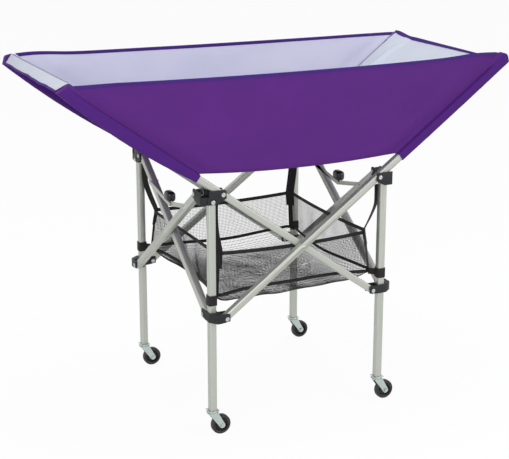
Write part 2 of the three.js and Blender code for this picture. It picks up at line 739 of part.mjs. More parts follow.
// Floor: hangs between the four bottom edges, lowest in the middle
function hammockFloor() {
  const halfLength = endBottom.x - GAP;
  const pointAt = (u, v) => {
    const x = (2 * u - 1) * halfLength;
    const front = frontWallY(x) - CLOTH / 2;
    const back = -frontWallY(-x) + CLOTH / 2;
    const dish = FLOOR_DISH * 4 * v * (1 - v) * (1 - (2 * u - 1) ** 2);
    const z = wallBottomZ(x) - GAP - GAP - CLOTH - dish;
    return new THREE.Vector3(x, THREE.MathUtils.lerp(front, back, v), z);
  };
  return slab(pointAt, new THREE.Vector3(0, 0, CLOTH), ...FLOOR_GRID);
}

addPiece('hammock_wall_front', longWall(), 'purple');
addPiece('hammock_wall_back', longWall().rotateZ(Math.PI), 'purple');
addPiece('hammock_end_left', endWall(END_SAG_LEFT), 'purple');
addPiece('hammock_end_right', endWall(END_SAG_RIGHT).rotateZ(Math.PI), 'purple');
addPiece('hammock_floor', hammockFloor(), 'purple');

// Basket: open net tray between the legs. Its rings run round the tray from one corner chamfer to
// the next, first up the outside and then down the inside.

const rimHalf = halfSpacing - BASKET_INSET;
const edgeHalf = halfSpacing - EDGE_INSET;

// One ring of the tray, from the front left corner round to it again
function basketRing({ half, z, bow = 0, sags = [0, 0, 0, 0], shrink = 0 }) {
  const points = [];
  const steps = BASKET_SIDE_STEPS;
  for (let side = 0; side < 4; side += 1) {
    const reach = half - BASKET_CORNER - shrink * CHAMFER_SHARE;
    for (let step = 0; step <= steps; step += 1) {
      const t = (2 * step) / steps - 1;
      const belly = 1 - t * t;
      const flat = new THREE.Vector2(t * reach, -half + shrink + bow * belly);
      flat.rotateAround(new THREE.Vector2(), side * Math.PI / 2);
      points.push(new THREE.Vector3(flat.x, flat.y, z - sags[side] * belly));
    }
  }
  return points;
}

function basket() {
  const sags = [RIM_SAG_FRONT, RIM_SAG, RIM_SAG, RIM_SAG];
  const middle = {
    half: (rimHalf + edgeHalf) / 2, z: (rimZ + edgeZ) / 2, bow: (EDGE_BOW + RIM_BOW) / 2,
  };
  const floorHalf = edgeHalf / 2;
  const rings = [
    basketRing({ half: floorHalf, z: trayZ }),
    basketRing({ half: edgeHalf, z: edgeZ, bow: EDGE_BOW }),
    basketRing(middle),
    basketRing({ half: rimHalf, z: rimZ, bow: RIM_BOW, sags }),
    basketRing({ half: rimHalf, z: rimZ, bow: RIM_BOW, sags, shrink: NET }),
    basketRing({ ...middle, shrink: NET }),
    basketRing({ half: edgeHalf, z: edgeZ + NET, bow: EDGE_BOW, shrink: NET }),
    basketRing({ half: floorHalf, z: trayZ + NET }),
  ];
  const count = rings[0].length;
  const positions = rings.flat().flatMap((p) => p.toArray());
  const faces = [];
  // Inside, each quad is split along the same diagonal as the one outside it, so that the wall
  // keeps its thickness where it is twisted
  for (let ring = 0; ring + 1 < rings.length; ring += 1) {
    const inside = ring >= rings.length / 2;
    for (let i = 0; i < count; i += 1) {
      const next = (i + 1) % count;
      const [a, b] = [ring * count + i, ring * count + next];
      if (inside) faces.push(a, b, a + count, b, b + count, a + count);
      else faces.push(a, b, b + count, a, b + count, a + count);
    }
  }
  const bottom = positions.length / 3;
  const low = trayZ - FLOOR_DROP;
  positions.push(0, 0, low, 0, 0, low + NET);
  const last = (rings.length - 1) * count;
  for (let i = 0; i < count; i += 1) {
    const next = (i + 1) % count;
    faces.push(bottom, next, i);
    faces.push(bottom + 1, last + i, last + next);
  }
  const geometry = new THREE.BufferGeometry();
  geometry.setAttribute('position', new THREE.Float32BufferAttribute(positions, 3));
  geometry.setIndex(faces);
  const solid = toSolid(geometry);
  return toGeometry(solid.volume() < 0 ? toSolid(flipFaces(geometry)) : solid);
}

addPiece('basket', basket(), 'net');

// Straps and loops: a flat strap hangs from each top bracket down the basket's corner, and a
// loop round each leg holds the basket's bottom corner

const legDiagonal = halfSpacing * Math.SQRT2;
const fromLeg = (half) => legDiagonal - (2 * half - BASKET_CORNER) / Math.SQRT2;
const lapShare = STRAP_LAP / BASKET_DEEP;
const lapHalf = THREE.MathUtils.lerp(rimHalf, edgeHalf, lapShare);
const strapFromLeg = fromLeg(lapHalf) - GAP - STRAP_THICK;
const legCorner = halfTube * Math.SQRT2 - TUBE_ROUND * (Math.SQRT2 - 1);

// Drawn with +X along the diagonal from the leg to the middle
function strap() {
  const near = legCorner + GAP;
  const low = rimZ - STRAP_LAP;
  const far = strapFromLeg + STRAP_THICK;
  const outline = [
    [near, STRAP_TOP_Z], [near, STRAP_TOP_Z - STRAP_THICK], [strapFromLeg, rimZ],
    [strapFromLeg, low], [far, low], [far, rimZ], [near + STRAP_THICK, STRAP_TOP_Z],
  ];
  return plateAcrossY(outline, -STRAP_WIDE / 2, STRAP_WIDE / 2);
}

function loop() {
  const inner = channel;
  const outer = channel + LOOP_THICK;
  const half = TONGUE_WIDE / 2;
  const ring = block(-outer, outer, -outer, outer, loopZ - LOOP_TALL / 2, loopZ + LOOP_TALL / 2);
  const tongue = block(outer, fromLeg(edgeHalf) - GAP, -half, half,
    edgeZ - TONGUE_TALL / 2, edgeZ + TONGUE_TALL / 2);
  const solid = join([ring, tongue.rotateZ(Math.PI / 4)]);
  return cut(solid, [block(-inner, inner, -inner, inner, loopZ - LOOP_TALL, loopZ + LOOP_TALL)]);
}

for (const { place, sx, sy } of corners) {
  const turned = strap().rotateZ(Math.PI / 4);
  addPiece(`strap_${place}`, toCorner(turned, sx, sy), 'webbing');
  addPiece(`leg_loop_${place}`, toCorner(loop(), sx, sy), 'webbing');
}

export default cart;
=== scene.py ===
import json
import math

import bpy
from mathutils import Matrix, Quaternion, Vector, noise


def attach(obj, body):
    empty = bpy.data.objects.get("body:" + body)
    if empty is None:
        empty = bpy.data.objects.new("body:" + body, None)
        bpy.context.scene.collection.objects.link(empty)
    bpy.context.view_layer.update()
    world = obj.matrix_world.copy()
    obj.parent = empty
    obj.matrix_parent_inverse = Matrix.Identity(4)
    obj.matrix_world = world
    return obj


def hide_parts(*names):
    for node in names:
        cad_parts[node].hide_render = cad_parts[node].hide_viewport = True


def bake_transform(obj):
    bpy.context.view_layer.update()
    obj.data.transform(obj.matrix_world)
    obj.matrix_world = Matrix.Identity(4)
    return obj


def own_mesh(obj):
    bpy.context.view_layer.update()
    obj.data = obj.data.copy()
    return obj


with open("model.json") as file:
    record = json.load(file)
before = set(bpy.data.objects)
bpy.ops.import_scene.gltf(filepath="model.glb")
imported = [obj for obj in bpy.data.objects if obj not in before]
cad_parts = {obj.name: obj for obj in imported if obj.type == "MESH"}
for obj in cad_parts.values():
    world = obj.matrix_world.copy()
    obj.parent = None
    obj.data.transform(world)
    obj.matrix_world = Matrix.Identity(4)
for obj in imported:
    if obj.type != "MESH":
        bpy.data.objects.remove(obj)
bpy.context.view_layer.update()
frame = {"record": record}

# One millimetre in the scene's metres
MM = 0.001


# Camera. It stands in front of the cart's left half at eye height and looks a little down, as the
# photograph does. A small shift keeps the legs nearly upright.
CAMERA_AT = Vector((-1353, -2765, 1386)) * MM
CAMERA_YAW = math.radians(25.95)
CAMERA_DOWN = math.radians(14.5)
CAMERA_ROLL = math.radians(0.057)
FOCAL_PIXELS = 1180
FRAME_WIDE = 509
SENSOR_MM = 36
CAMERA_SHIFT = -0.1
VIEW_METRES = 200

bpy.ops.object.select_all(action="DESELECT")
bpy.ops.object.camera_add(location=CAMERA_AT)
camera = bpy.context.object
look = Vector((
    math.sin(CAMERA_YAW) * math.cos(CAMERA_DOWN),
    math.cos(CAMERA_YAW) * math.cos(CAMERA_DOWN),
    -math.sin(CAMERA_DOWN),
))
camera.rotation_mode = "QUATERNION"
camera.rotation_quaternion = look.to_track_quat("-Z", "Y") @ Quaternion((0, 0, 1), CAMERA_ROLL)
camera.data.sensor_width = SENSOR_MM
camera.data.lens = FOCAL_PIXELS / FRAME_WIDE * SENSOR_MM
camera.data.shift_y = CAMERA_SHIFT
camera.data.clip_end = VIEW_METRES
bpy.context.scene.camera = camera


# Studio. A plain pale floor and a white surround, with one broad softbox from the front left, a
# weaker one from the right, and one overhead. Camera and gloss rays see the surround as white.
FLOOR_SIZE = 90
FLOOR_GLOW = 0.93
SURROUND_LIGHT = 0.55
LIGHTS_AIM = Vector((0, 0, 0.6))
SOFTBOXES = [
    # Name, place and size in metres, and power in watts
    ("softbox_left", (-2.6, -3.2, 2.4), 2.4, 100),
    ("softbox_right", (2.8, -2.6, 1.8), 2.0, 34),
    ("softbox_top", (0.2, 0.3, 3.4), 2.6, 42),
]


def colour(code):
    """Turns an sRGB hex colour to linear."""
    shares = [int(code[i:i + 2], 16) / 255 for i in (1, 3, 5)]
    linear = [s / 12.92 if s <= 0.04045 else ((s + 0.055) / 1.055) ** 2.4 for s in shares]
    return (*linear, 1)


def add(tree, kind, inputs=None, **settings):
    """Adds a node. An input is a number, a colour, or another node's output to link."""
    node = tree.nodes.new(kind)
    for name, value in settings.items():
        setattr(node, name, value)
    for name, value in (inputs or {}).items():
        if isinstance(value, bpy.types.NodeSocket):
            tree.links.new(value, node.inputs[name])
        else:
            node.inputs[name].default_value = value
    return node


def new_material(name):
    """An empty material and its node tree."""
    material = bpy.data.materials.new(name)
    material.use_nodes = True
    material.node_tree.nodes.clear()
    return material, material.node_tree


def new_object(name, data):
    """An object that holds a mesh, curve or lamp, in the scene."""
    made = bpy.data.objects.new(name, data)
    bpy.context.collection.objects.link(made)
    return made


def seen_directly(tree):
    """1 for rays from the camera, off gloss or through clear material, and 0 for all others."""
    path = add(tree, "ShaderNodeLightPath")
    seen = path.outputs["Is Camera Ray"]
    for kind in ("Is Glossy Ray", "Is Transmission Ray"):
        seen = add(tree, "ShaderNodeMath", {0: seen, 1: path.outputs[kind]}, operation="MAXIMUM").outputs[0]
    return seen


bpy.ops.object.select_all(action="DESELECT")
bpy.ops.mesh.primitive_plane_add(size=FLOOR_SIZE)
floor = bpy.context.object
floor.name = "studio_floor"
paper, tree = new_material("studio paper, white")
matt = add(tree, "ShaderNodeBsdfDiffuse", {"Color": colour("#F4F4F4")})
glow = add(tree, "ShaderNodeEmission", {"Color": colour("#FFFFFF"), "Strength": 1.0})
share = add(tree, "ShaderNodeMath", {0: seen_directly(tree), 1: FLOOR_GLOW}, operation="MULTIPLY")
mixed = add(tree, "ShaderNodeMixShader", {0: share.outputs[0], 1: matt.outputs[0], 2: glow.outputs[0]})
add(tree, "ShaderNodeOutputMaterial", {"Surface": mixed.outputs[0]})
floor.data.materials.append(paper)

world = bpy.data.worlds.new("studio surround")
bpy.context.scene.world = world
world.use_nodes = True
tree = world.node_tree
tree.nodes.clear()
light = add(tree, "ShaderNodeBackground", {"Color": colour("#FFFFFF"), "Strength": SURROUND_LIGHT})
white = add(tree, "ShaderNodeBackground", {"Color": colour("#FFFFFF"), "Strength": 1.0})
mixed = add(tree, "ShaderNodeMixShader", {0: seen_directly(tree), 1: light.outputs[0], 2: white.outputs[0]})
add(tree, "ShaderNodeOutputWorld", {"Surface": mixed.outputs[0]})

for name, place, size, watts in SOFTBOXES:
    lamp = bpy.data.lights.new(name, "AREA")
    lamp.size = size
    lamp.energy = watts
    holder = new_object(name, lamp)
    holder.location = place
    holder.rotation_euler = (LIGHTS_AIM - Vector(place)).to_track_quat("-Z", "Y").to_euler()

bpy.context.scene.view_settings.view_transform = "Standard"


# Legs, crossed arms and stay bars. They are extruded aluminium, square tube with rounded edges for
# the legs and arms and flat bar for the stays, etched and anodised clear to a satin finish.
HALF = 243.5 * MM
PITCH = 19.6 * MM
PIVOT_OFFSET = 27.3 * MM
PIVOT_TOP = 633 * MM
PIVOT_LOW = 319.65 * MM
ARM_ANGLE = math.atan2(PIVOT_TOP - PIVOT_LOW, 2 * (HALF - PIVOT_OFFSET))
CORNERS = {"front_left": (1, 1), "front_right": (-1, 1), "back_left": (1, -1), "back_right": (-1, -1)}
BODY_OF = {node: body for body, nodes in frame["record"]["behaviour"]["bodies"].items() for node in nodes}


def select_only(piece):
    bpy.ops.object.select_all(action="DESELECT")
    piece.select_set(True)
    bpy.context.view_layer.objects.active = piece


def edit_all(piece):
    """Opens the piece in edit mode with all of it selected."""
    select_only(piece)
    bpy.ops.object.mode_set(mode="EDIT")
    bpy.ops.mesh.select_all(action="SELECT")


def stand_for(piece, node):
    """The piece stands for a CAD node and moves with the node's body."""
    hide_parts(node)
    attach(piece, BODY_OF[node])


def solid_copy(node, name, material, rounding=0):
    """A CAD solid with its triangles merged and its edges rounded, which stands for the node."""
    piece = new_object(name, bpy.data.objects[node].data.copy())
    edit_all(piece)
    bpy.ops.mesh.remove_doubles(threshold=0.01 * MM)
    bpy.ops.mesh.dissolve_limited(angle_limit=math.radians(1))
    bpy.ops.object.mode_set(mode="OBJECT")
    if rounding:
        bevel = piece.modifiers.new("rounded edges", "BEVEL")
        bevel.width = rounding
        bevel.segments = 2
        bevel.limit_method = "ANGLE"
        bevel.angle_limit = math.radians(40)
        bpy.ops.object.modifier_apply(modifier=bevel.name)
    bpy.ops.object.shade_smooth_by_angle(angle=math.radians(50))
    piece.data.materials.clear()
    piece.data.materials.append(material)
    stand_for(piece, node)


def finish_material(tree, shader_inputs):
    """Ends a material with its shader and its output."""
    shader = add(tree, "ShaderNodeBsdfPrincipled", shader_inputs)
    add(tree, "ShaderNodeOutputMaterial", {"Surface": shader.outputs["BSDF"]})


def satin_aluminium(name, turn):
    """Clear anodised aluminium: soft grey metal with fine die lines along the tube. The lines are
    about 0.3 mm apart on the real tube and are drawn 1.2 mm apart, so that they show."""
    material, tree = new_material(name)
    place = add(tree, "ShaderNodeTexCoord").outputs["Object"]
    along = add(tree, "ShaderNodeMapping", {"Vector": place, "Rotation": turn})
    lines = add(tree, "ShaderNodeMapping", {"Vector": along.outputs[0], "Scale": (830, 830, 6)})
    grain = add(tree, "ShaderNodeTexNoise", {"Vector": lines.outputs[0], "Scale": 1.0, "Detail": 2.0})
    handling = add(tree, "ShaderNodeTexNoise", {"Vector": place, "Scale": 26.0, "Detail": 3.0})
    tint = add(tree, "ShaderNodeMapRange", {
        "Value": grain.outputs["Fac"], "From Min": 0.3, "From Max": 0.7, "To Min": 0.0, "To Max": 1.0})
    base = add(tree, "ShaderNodeMix", {
        0: tint.outputs[0], 6: colour("#AEB1A9"), 7: colour("#BDC0B8")}, data_type="RGBA")
    rough = add(tree, "ShaderNodeMapRange", {
        "Value": handling.outputs["Fac"], "From Min": 0.3, "From Max": 0.7, "To Min": 0.44, "To Max": 0.56})
    bump = add(tree, "ShaderNodeBump", {
        "Height": grain.outputs["Fac"], "Strength": 0.35, "Distance": 0.05 * MM})
    # The oxide layer scatters a part of the light as paint does
    finish_material(tree, {
        "Base Color": base.outputs[2], "Metallic": 0.8, "Roughness": rough.outputs[0],
        "Normal": bump.outputs[0]})
    return material


LEAN = math.pi / 2 - ARM_ANGLE
tube_metal = {
    "leg": satin_aluminium("anodised aluminium tube, upright", (0, 0, 0)),
    "long up right": satin_aluminium("anodised aluminium tube, rising right", (0, -LEAN, 0)),
    "long up left": satin_aluminium("anodised aluminium tube, rising left", (0, LEAN, 0)),
    "short up back": satin_aluminium("anodised aluminium tube, rising back", (LEAN, 0, 0)),
    "short up front": satin_aluminium("anodised aluminium tube, rising front", (-LEAN, 0, 0)),
    "bar": satin_aluminium("anodised aluminium flat bar", (math.pi / 2, 0, 0)),
}
for place, (sx, sy) in CORNERS.items():
    solid_copy(f"leg_{place}", f"leg_tube_{place}", tube_metal["leg"])
    lean = "long up right" if sx > 0 else "long up left"
    solid_copy(f"long_arm_{place}", f"long_arm_tube_{place}", tube_metal[lean])
    lean = "short up back" if sy > 0 else "short up front"
    solid_copy(f"short_arm_{place}", f"short_arm_tube_{place}", tube_metal[lean])
    solid_copy(f"stay_bar_{place}", f"stay_flat_bar_{place}", tube_metal["bar"], 0.3 * MM)


# Corner brackets and sliders. They are injection moulded in black glass-filled nylon, a socket round
# the leg with two pairs of ears, with slightly rounded edges and a fine moulded grain.
def clouded_skin(name, shades, clouds, rough, grain, bump, **settings):
    """A solid's skin. Noise clouds carry its two shades and its roughness, and a finer noise its
    grain. A noise is (cells per metre, detail), and the bump is (strength, height in mm)."""
    material, tree = new_material(name)
    place = add(tree, "ShaderNodeTexCoord").outputs["Object"]
    cloud = add(tree, "ShaderNodeTexNoise", {"Vector": place, "Scale": clouds[0], "Detail": clouds[1]})
    fine = add(tree, "ShaderNodeTexNoise", {"Vector": place, "Scale": grain[0], "Detail": grain[1]})
    base = add(tree, "ShaderNodeMix", {
        0: cloud.outputs["Fac"], 6: colour(shades[0]), 7: colour(shades[1])}, data_type="RGBA")
    dull = add(tree, "ShaderNodeMapRange", {
        "Value": cloud.outputs["Fac"], "To Min": rough[0], "To Max": rough[1]})
    relief = add(tree, "ShaderNodeBump", {
        "Height": fine.outputs["Fac"], "Strength": bump[0], "Distance": bump[1] * MM})
    finish_material(tree, {
        "Base Color": base.outputs[2], "Roughness": dull.outputs[0], "Normal": relief.outputs[0], **settings})
    return material


# Glass-filled nylon is near black with a cold tint and a dull, finely pitted skin. Its pits are
# 0.4 mm apart and are drawn 0.8 mm apart.
nylon = clouded_skin(
    "glass-filled nylon, moulded black", ("#0E1113", "#1A1E20"), clouds=(60.0, 3.0), rough=(0.42, 0.6),
    grain=(1250.0, 1.0), bump=(0.4, 0.08), **{"Specular IOR Level": 0.35})
for place in CORNERS:
    solid_copy(f"top_bracket_{place}", f"corner_bracket_{place}", nylon, 0.9 * MM)
    solid_copy(f"slider_{place}", f"slide_bracket_{place}", nylon, 0.9 * MM)


# Rivets. Each pivot is a steel rivet with a low domed head and a dished centre on both sides of its
# bracket, and one more on each top bracket fixes the leg.
RIVET_RADIUS = 5.4 * MM
RIVET_HIGH = 2.3 * MM

# From the edge to the dished centre, each step of the head is (inset, rise) in mm
RIVET_STEPS = [(1.1, 0.5), (1.6, 0.25), (0.8, -0.6)]
EAR_FACE = 13 * MM
FIXING_DROP = 16 * MM


def bright_steel():
    """Zinc-plated steel rivet: bright, with a fine tumbled texture under 0.2 mm, drawn at 0.5 mm."""
    material, tree = new_material("rivet steel, bright zinc plated")
    place = add(tree, "ShaderNodeTexCoord").outputs["Object"]
    tumbled = add(tree, "ShaderNodeTexNoise", {"Vector": place, "Scale": 2000.0, "Detail": 2.0})
    rough = add(tree, "ShaderNodeMapRange", {"Value": tumbled.outputs["Fac"], "To Min": 0.25, "To Max": 0.4})
    bump = add(tree, "ShaderNodeBump", {
        "Height": tumbled.outputs["Fac"], "Strength": 0.2, "Distance": 0.04 * MM})
    finish_material(tree, {
        "Base Color": colour("#B9BDBB"), "Metallic": 1.0, "Roughness": rough.outputs[0],
        "Normal": bump.outputs[0]})
    return material


def take_faces(piece, wanted):
    """Opens the piece in edit mode with only the faces selected whose normal passes the test."""
    bpy.ops.object.mode_set(mode="EDIT")
    bpy.ops.mesh.select_all(action="DESELECT")
    bpy.ops.object.mode_set(mode="OBJECT")
    for face in piece.data.polygons:
        face.select = wanted(face.normal)
    bpy.ops.object.mode_set(mode="EDIT")


rivet_steel = bright_steel()
bpy.ops.object.select_all(action="DESELECT")
bpy.ops.mesh.primitive_cylinder_add(
    vertices=28, radius=RIVET_RADIUS, depth=RIVET_HIGH, location=(0, 0, RIVET_HIGH / 2))
rivet_head = bpy.context.object
bpy.ops.object.transform_apply(location=True, rotation=True, scale=True)
take_faces(rivet_head, lambda normal: normal.z > 0.9)
for inset, rise in RIVET_STEPS:
    bpy.ops.mesh.inset(thickness=inset * MM, depth=rise * MM)
bpy.ops.object.mode_set(mode="OBJECT")
bpy.ops.object.shade_smooth_by_angle(angle=math.radians(60))
rivet_head.data.materials.append(rivet_steel)
rivet_mesh = rivet_head.data
bpy.data.objects.remove(rivet_head)


def place_rivets(name, body, spots):
    """Copies of the head at each (point, outward direction), joined in one piece on its body."""
    copies = []
    for point, outward in spots:
        copy = new_object(name, rivet_mesh.copy())
        turn = Vector(outward).to_track_quat("Z", "Y").to_matrix().to_4x4()
        copy.data.transform(Matrix.Translation(point) @ turn)
        copies.append(copy)
    bpy.ops.object.select_all(action="DESELECT")
    for copy in copies:
        copy.select_set(True)
    bpy.context.view_layer.objects.active = copies[0]
    bpy.ops.object.join()
    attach(copies[0], body)


for place, (sx, sy) in CORNERS.items():
    leg_x, leg_y = -sx * HALF, -sy * HALF
    for part, z in (("top_bracket", PIVOT_TOP), ("slider", PIVOT_LOW)):
        # The pair of ears that is in line with the leg swaps sides between the top and the slider
        long_in_line = (sx * sy > 0) == (part == "top_bracket")
        long_shift = 0 if long_in_line else PITCH
        short_shift = PITCH if long_in_line else 0
        spots = []
        for side in (-1, 1):
            point = (leg_x + sx * PIVOT_OFFSET, leg_y + sy * (side * EAR_FACE - long_shift), z)
            spots.append((point, (0, sy * side, 0)))
            point = (leg_x + sx * (side * EAR_FACE - short_shift), leg_y + sy * PIVOT_OFFSET, z)
            spots.append((point, (sx * side, 0, 0)))
        if part == "top_bracket":
            if long_in_line:
                spots.append(((leg_x, leg_y - sy * EAR_FACE, z - FIXING_DROP), (0, -sy, 0)))
            else:
                spots.append(((leg_x - sx * EAR_FACE, leg_y, z - FIXING_DROP), (-sx, 0, 0)))
        place_rivets(f"rivets_{part}_{place}", BODY_OF[f"{part}_{place}"], spots)


# Stay knobs. A well rounded block of the same nylon, a little glossier from handling, stands over the
# joint of each stay and is slotted from below for the two bars.
KNOB = (24 * MM, 36 * MM, 28 * MM)
KNOB_AT = (-253.15 * MM, 0, 571.5 * MM)
KNOB_ROUND = 9.5 * MM
KNOB_SLOT = 6.4 * MM
KNOB_SLOT_TOP = 561 * MM

# The same black nylon where hands polish it is smoother, with faint rubbed patches
polished = clouded_skin(
    "glass-filled nylon, polished by hands", ("#0B0D0F", "#15181A"), clouds=(130.0, 3.0),
    rough=(0.22, 0.36), grain=(1400.0, 1.0), bump=(0.12, 0.04))
for side, turn in (("left", 0), ("right", math.pi)):
    bpy.ops.object.select_all(action="DESELECT")
    bpy.ops.mesh.primitive_cube_add(size=1, location=KNOB_AT)
    knob = bpy.context.object
    knob.name = f"lock_knob_{side}"
    knob.scale = KNOB
    bpy.ops.object.transform_apply(location=True, rotation=True, scale=True)
    edit_all(knob)
    bpy.ops.mesh.bevel(offset=KNOB_ROUND, segments=6)
    bpy.ops.object.mode_set(mode="OBJECT")
    bpy.ops.object.select_all(action="DESELECT")
    bpy.ops.mesh.primitive_cube_add(size=1, location=(KNOB_AT[0], 0, KNOB_SLOT_TOP - KNOB[2] / 2))
    cutter = bpy.context.object
    cutter.scale = (KNOB_SLOT, 2 * KNOB[1], KNOB[2])
    bpy.ops.object.transform_apply(location=True, rotation=True, scale=True)
    select_only(knob)
    cut = knob.modifiers.new("slot for the bars", "BOOLEAN")
    cut.object = cutter
    cut.operation = "DIFFERENCE"
    bpy.ops.object.modifier_apply(modifier=cut.name)
    bpy.data.objects.remove(cutter)
    bpy.ops.object.shade_smooth_by_angle(angle=math.radians(45))
    knob.data.transform(Matrix.Rotation(turn, 4, "Z"))
    knob.data.materials.append(polished)
    stand_for(knob, f"stay_knob_{side}")


# Casters. The stem, its plate and ball race, and the swivel fork are pressed steel, plated with bright
# zinc, a pale metal with a green-blue cast and faint crystal clouds. The axle is a bolt with a nut.
zinc = clouded_skin(
    "pressed steel, bright zinc plated", ("#A9B6B1", "#C9D4D0"), clouds=(240.0, 4.0), rough=(0.24, 0.44),
    grain=(1500.0, 1.0), bump=(0.25, 0.04), Metallic=1.0)
for place in CORNERS:
    solid_copy(f"caster_stem_{place}", f"caster_top_{place}", zinc, 0.5 * MM)
    solid_copy(f"caster_fork_{place}", f"swivel_fork_{place}", zinc, 0.5 * MM)
    solid_copy(f"caster_axle_{place}", f"axle_bolt_{place}", rivet_steel, 0.4 * MM)


# Wheels. Two-inch wheels of hard black rubber, moulded in one piece round a plain bore, with a
# crowned tread and a dished face.
WHEEL_RADIUS = 25.5 * MM
WHEEL_THICK = 17 * MM
TREAD_ROUND = 4.2 * MM
TRAIL = 22 * MM

# From the tread to the bore, each step of a side face is (inset, rise) in mm
WHEEL_STEPS = [(1.2, 0), (0.8, -0.7), (2.4, 0), (0.8, 0.7), (1.6, 0), (1.2, -1.9), (3.6, 0), (0.9, 2.2),
               (1.4, 0), (2.6, 0)]

# Hard black rubber is dull and even, with a little dust in its moulded grain, which is 0.6 mm wide
rubber = clouded_skin(
    "hard rubber, moulded black", ("#131313", "#262625"), clouds=(90.0, 4.0), rough=(0.4, 0.62),
    grain=(1600.0, 2.0), bump=(0.3, 0.06))
bpy.ops.object.select_all(action="DESELECT")
bpy.ops.mesh.primitive_cylinder_add(
    vertices=64, radius=WHEEL_RADIUS, depth=WHEEL_THICK, rotation=(math.pi / 2, 0, 0))
wheel = bpy.context.object
bpy.ops.object.transform_apply(location=True, rotation=True, scale=True)
bpy.ops.object.mode_set(mode="EDIT")
bpy.ops.mesh.select_all(action="DESELECT")
bpy.ops.object.mode_set(mode="OBJECT")
for edge in wheel.data.edges:
    a, b = (wheel.data.vertices[i].co for i in edge.vertices)
    on_rim = min(a.xz.length, b.xz.length) > 0.9 * WHEEL_RADIUS
    edge.select = on_rim and abs(a.y - b.y) < 1e-6
bpy.ops.object.mode_set(mode="EDIT")
bpy.ops.mesh.bevel(offset=TREAD_ROUND, segments=5, profile=0.55)
take_faces(wheel, lambda normal: abs(normal.y) > 0.99)
for inset, rise in WHEEL_STEPS:
    bpy.ops.mesh.inset(thickness=inset * MM, depth=rise * MM, use_individual=False)
bpy.ops.object.mode_set(mode="OBJECT")
bpy.ops.object.shade_smooth_by_angle(angle=math.radians(35))
wheel_mesh = wheel.data
wheel_mesh.materials.append(rubber)
bpy.data.objects.remove(wheel)
for place, (sx, sy) in CORNERS.items():
    piece = new_object(f"rubber_wheel_{place}", wheel_mesh.copy())
    piece.data.transform(Matrix.Translation((-sx * HALF + TRAIL, -sy * HALF, WHEEL_RADIUS)))
    stand_for(piece, f"caster_wheel_{place}")


# Hammock. A bag of coated polyester, purple outside and silver white inside, sewn from two long walls,
# two ends and a floor. Sleeves along its four slanting edges slip over the poles.
SLEEVE_START = 78 * MM
RIDGE_ALONG = 473.5 * MM
SEAM_LOW = 12.4 * MM
SEAM_HIGH = 24 * MM
HEM_IN_LINE = (490 * MM, -9 * MM)
HEM_OUTSIDE = (476 * MM, -7 * MM)
CLOTH = 1.1 * MM
TAPE_CLOTH = 0.7 * MM
WEAVE_DRAWN = 1.1 * MM


def on_pole(along, above):
    """A point beside a pole in X and Z, for the right half of the cart."""
    x = HALF - PIVOT_OFFSET + along * math.cos(ARM_ANGLE) - above * math.sin(ARM_ANGLE)
    return x, PIVOT_TOP + along * math.sin(ARM_ANGLE) + above * math.cos(ARM_ANGLE)


def woven(name, light, dark, roughness):
    """Plain-woven polyester with a thin coating: threads 0.4 mm apart, drawn 1.1 mm apart, that keep
    the gloss low, slow changes of shade and small creases. A little light passes through it."""
    material, tree = new_material(name)
    flat = add(tree, "ShaderNodeUVMap", uv_map="UVMap")
    split = add(tree, "ShaderNodeSeparateXYZ", {0: flat.outputs[0]})
    threads = []
    for axis in ("X", "Y"):
        phase = add(tree, "ShaderNodeMath", {0: split.outputs[axis], 1: 2 * math.pi / WEAVE_DRAWN},
                    operation="MULTIPLY")
        threads.append(add(tree, "ShaderNodeMath", {0: phase.outputs[0]}, operation="SINE"))
    weave = add(tree, "ShaderNodeMath", {0: threads[0].outputs[0], 1: threads[1].outputs[0]},
                operation="MULTIPLY")
    place = add(tree, "ShaderNodeTexCoord").outputs["Object"]
    shade = add(tree, "ShaderNodeTexNoise", {"Vector": place, "Scale": 7.0, "Detail": 3.0})
    creases = add(tree, "ShaderNodeTexNoise", {"Vector": place, "Scale": 34.0, "Detail": 4.0})
    base = add(tree, "ShaderNodeMix", {
        0: shade.outputs["Fac"], 6: colour(dark), 7: colour(light)}, data_type="RGBA")
    fine = add(tree, "ShaderNodeBump", {"Height": weave.outputs[0], "Strength": 0.25, "Distance": 0.06 * MM})
    bump = add(tree, "ShaderNodeBump", {
        "Height": creases.outputs["Fac"], "Strength": 0.16, "Distance": 2.5 * MM, "Normal": fine.outputs[0]})
    face = add(tree, "ShaderNodeBsdfPrincipled", {
        "Base Color": base.outputs[2], "Roughness": roughness, "Specular IOR Level": 0.16,
        "Normal": bump.outputs[0]})
    through = add(tree, "ShaderNodeBsdfTranslucent", {"Color": base.outputs[2], "Normal": bump.outputs[0]})
    mixed = add(tree, "ShaderNodeMixShader", {0: 0.2, 1: face.outputs[0], 2: through.outputs[0]})
    add(tree, "ShaderNodeOutputMaterial", {"Surface": mixed.outputs[0]})
    return material


purple = woven("coated polyester, purple face", "#5D2882", "#532375", 0.62)
# The walls' lining is tinted lavender: painted light that passes through the purple face
lining = woven("coated polyester, silver white back", "#E2E1F2", "#D3D3EA", 0.5)
# The ends' and floor's lining is the same cloth drawn greyer and darker: painted shade
lining_painted_shade = woven("coated polyester, silver white back, painted shade", "#D6DBE6", "#C9CFDD", 0.5)
trim = woven("folded polyester tape, dark violet", "#4C2A84", "#402270", 0.6)


def thicken(piece, thickness, offset, back=0):
    """Gives a surface its thickness. back is how many material slots further the new face's is."""
    cloth = piece.modifiers.new("cloth thickness", "SOLIDIFY")
    cloth.thickness = thickness
    cloth.offset = offset
    cloth.material_offset = back
    bpy.ops.object.modifier_apply(modifier=cloth.name)


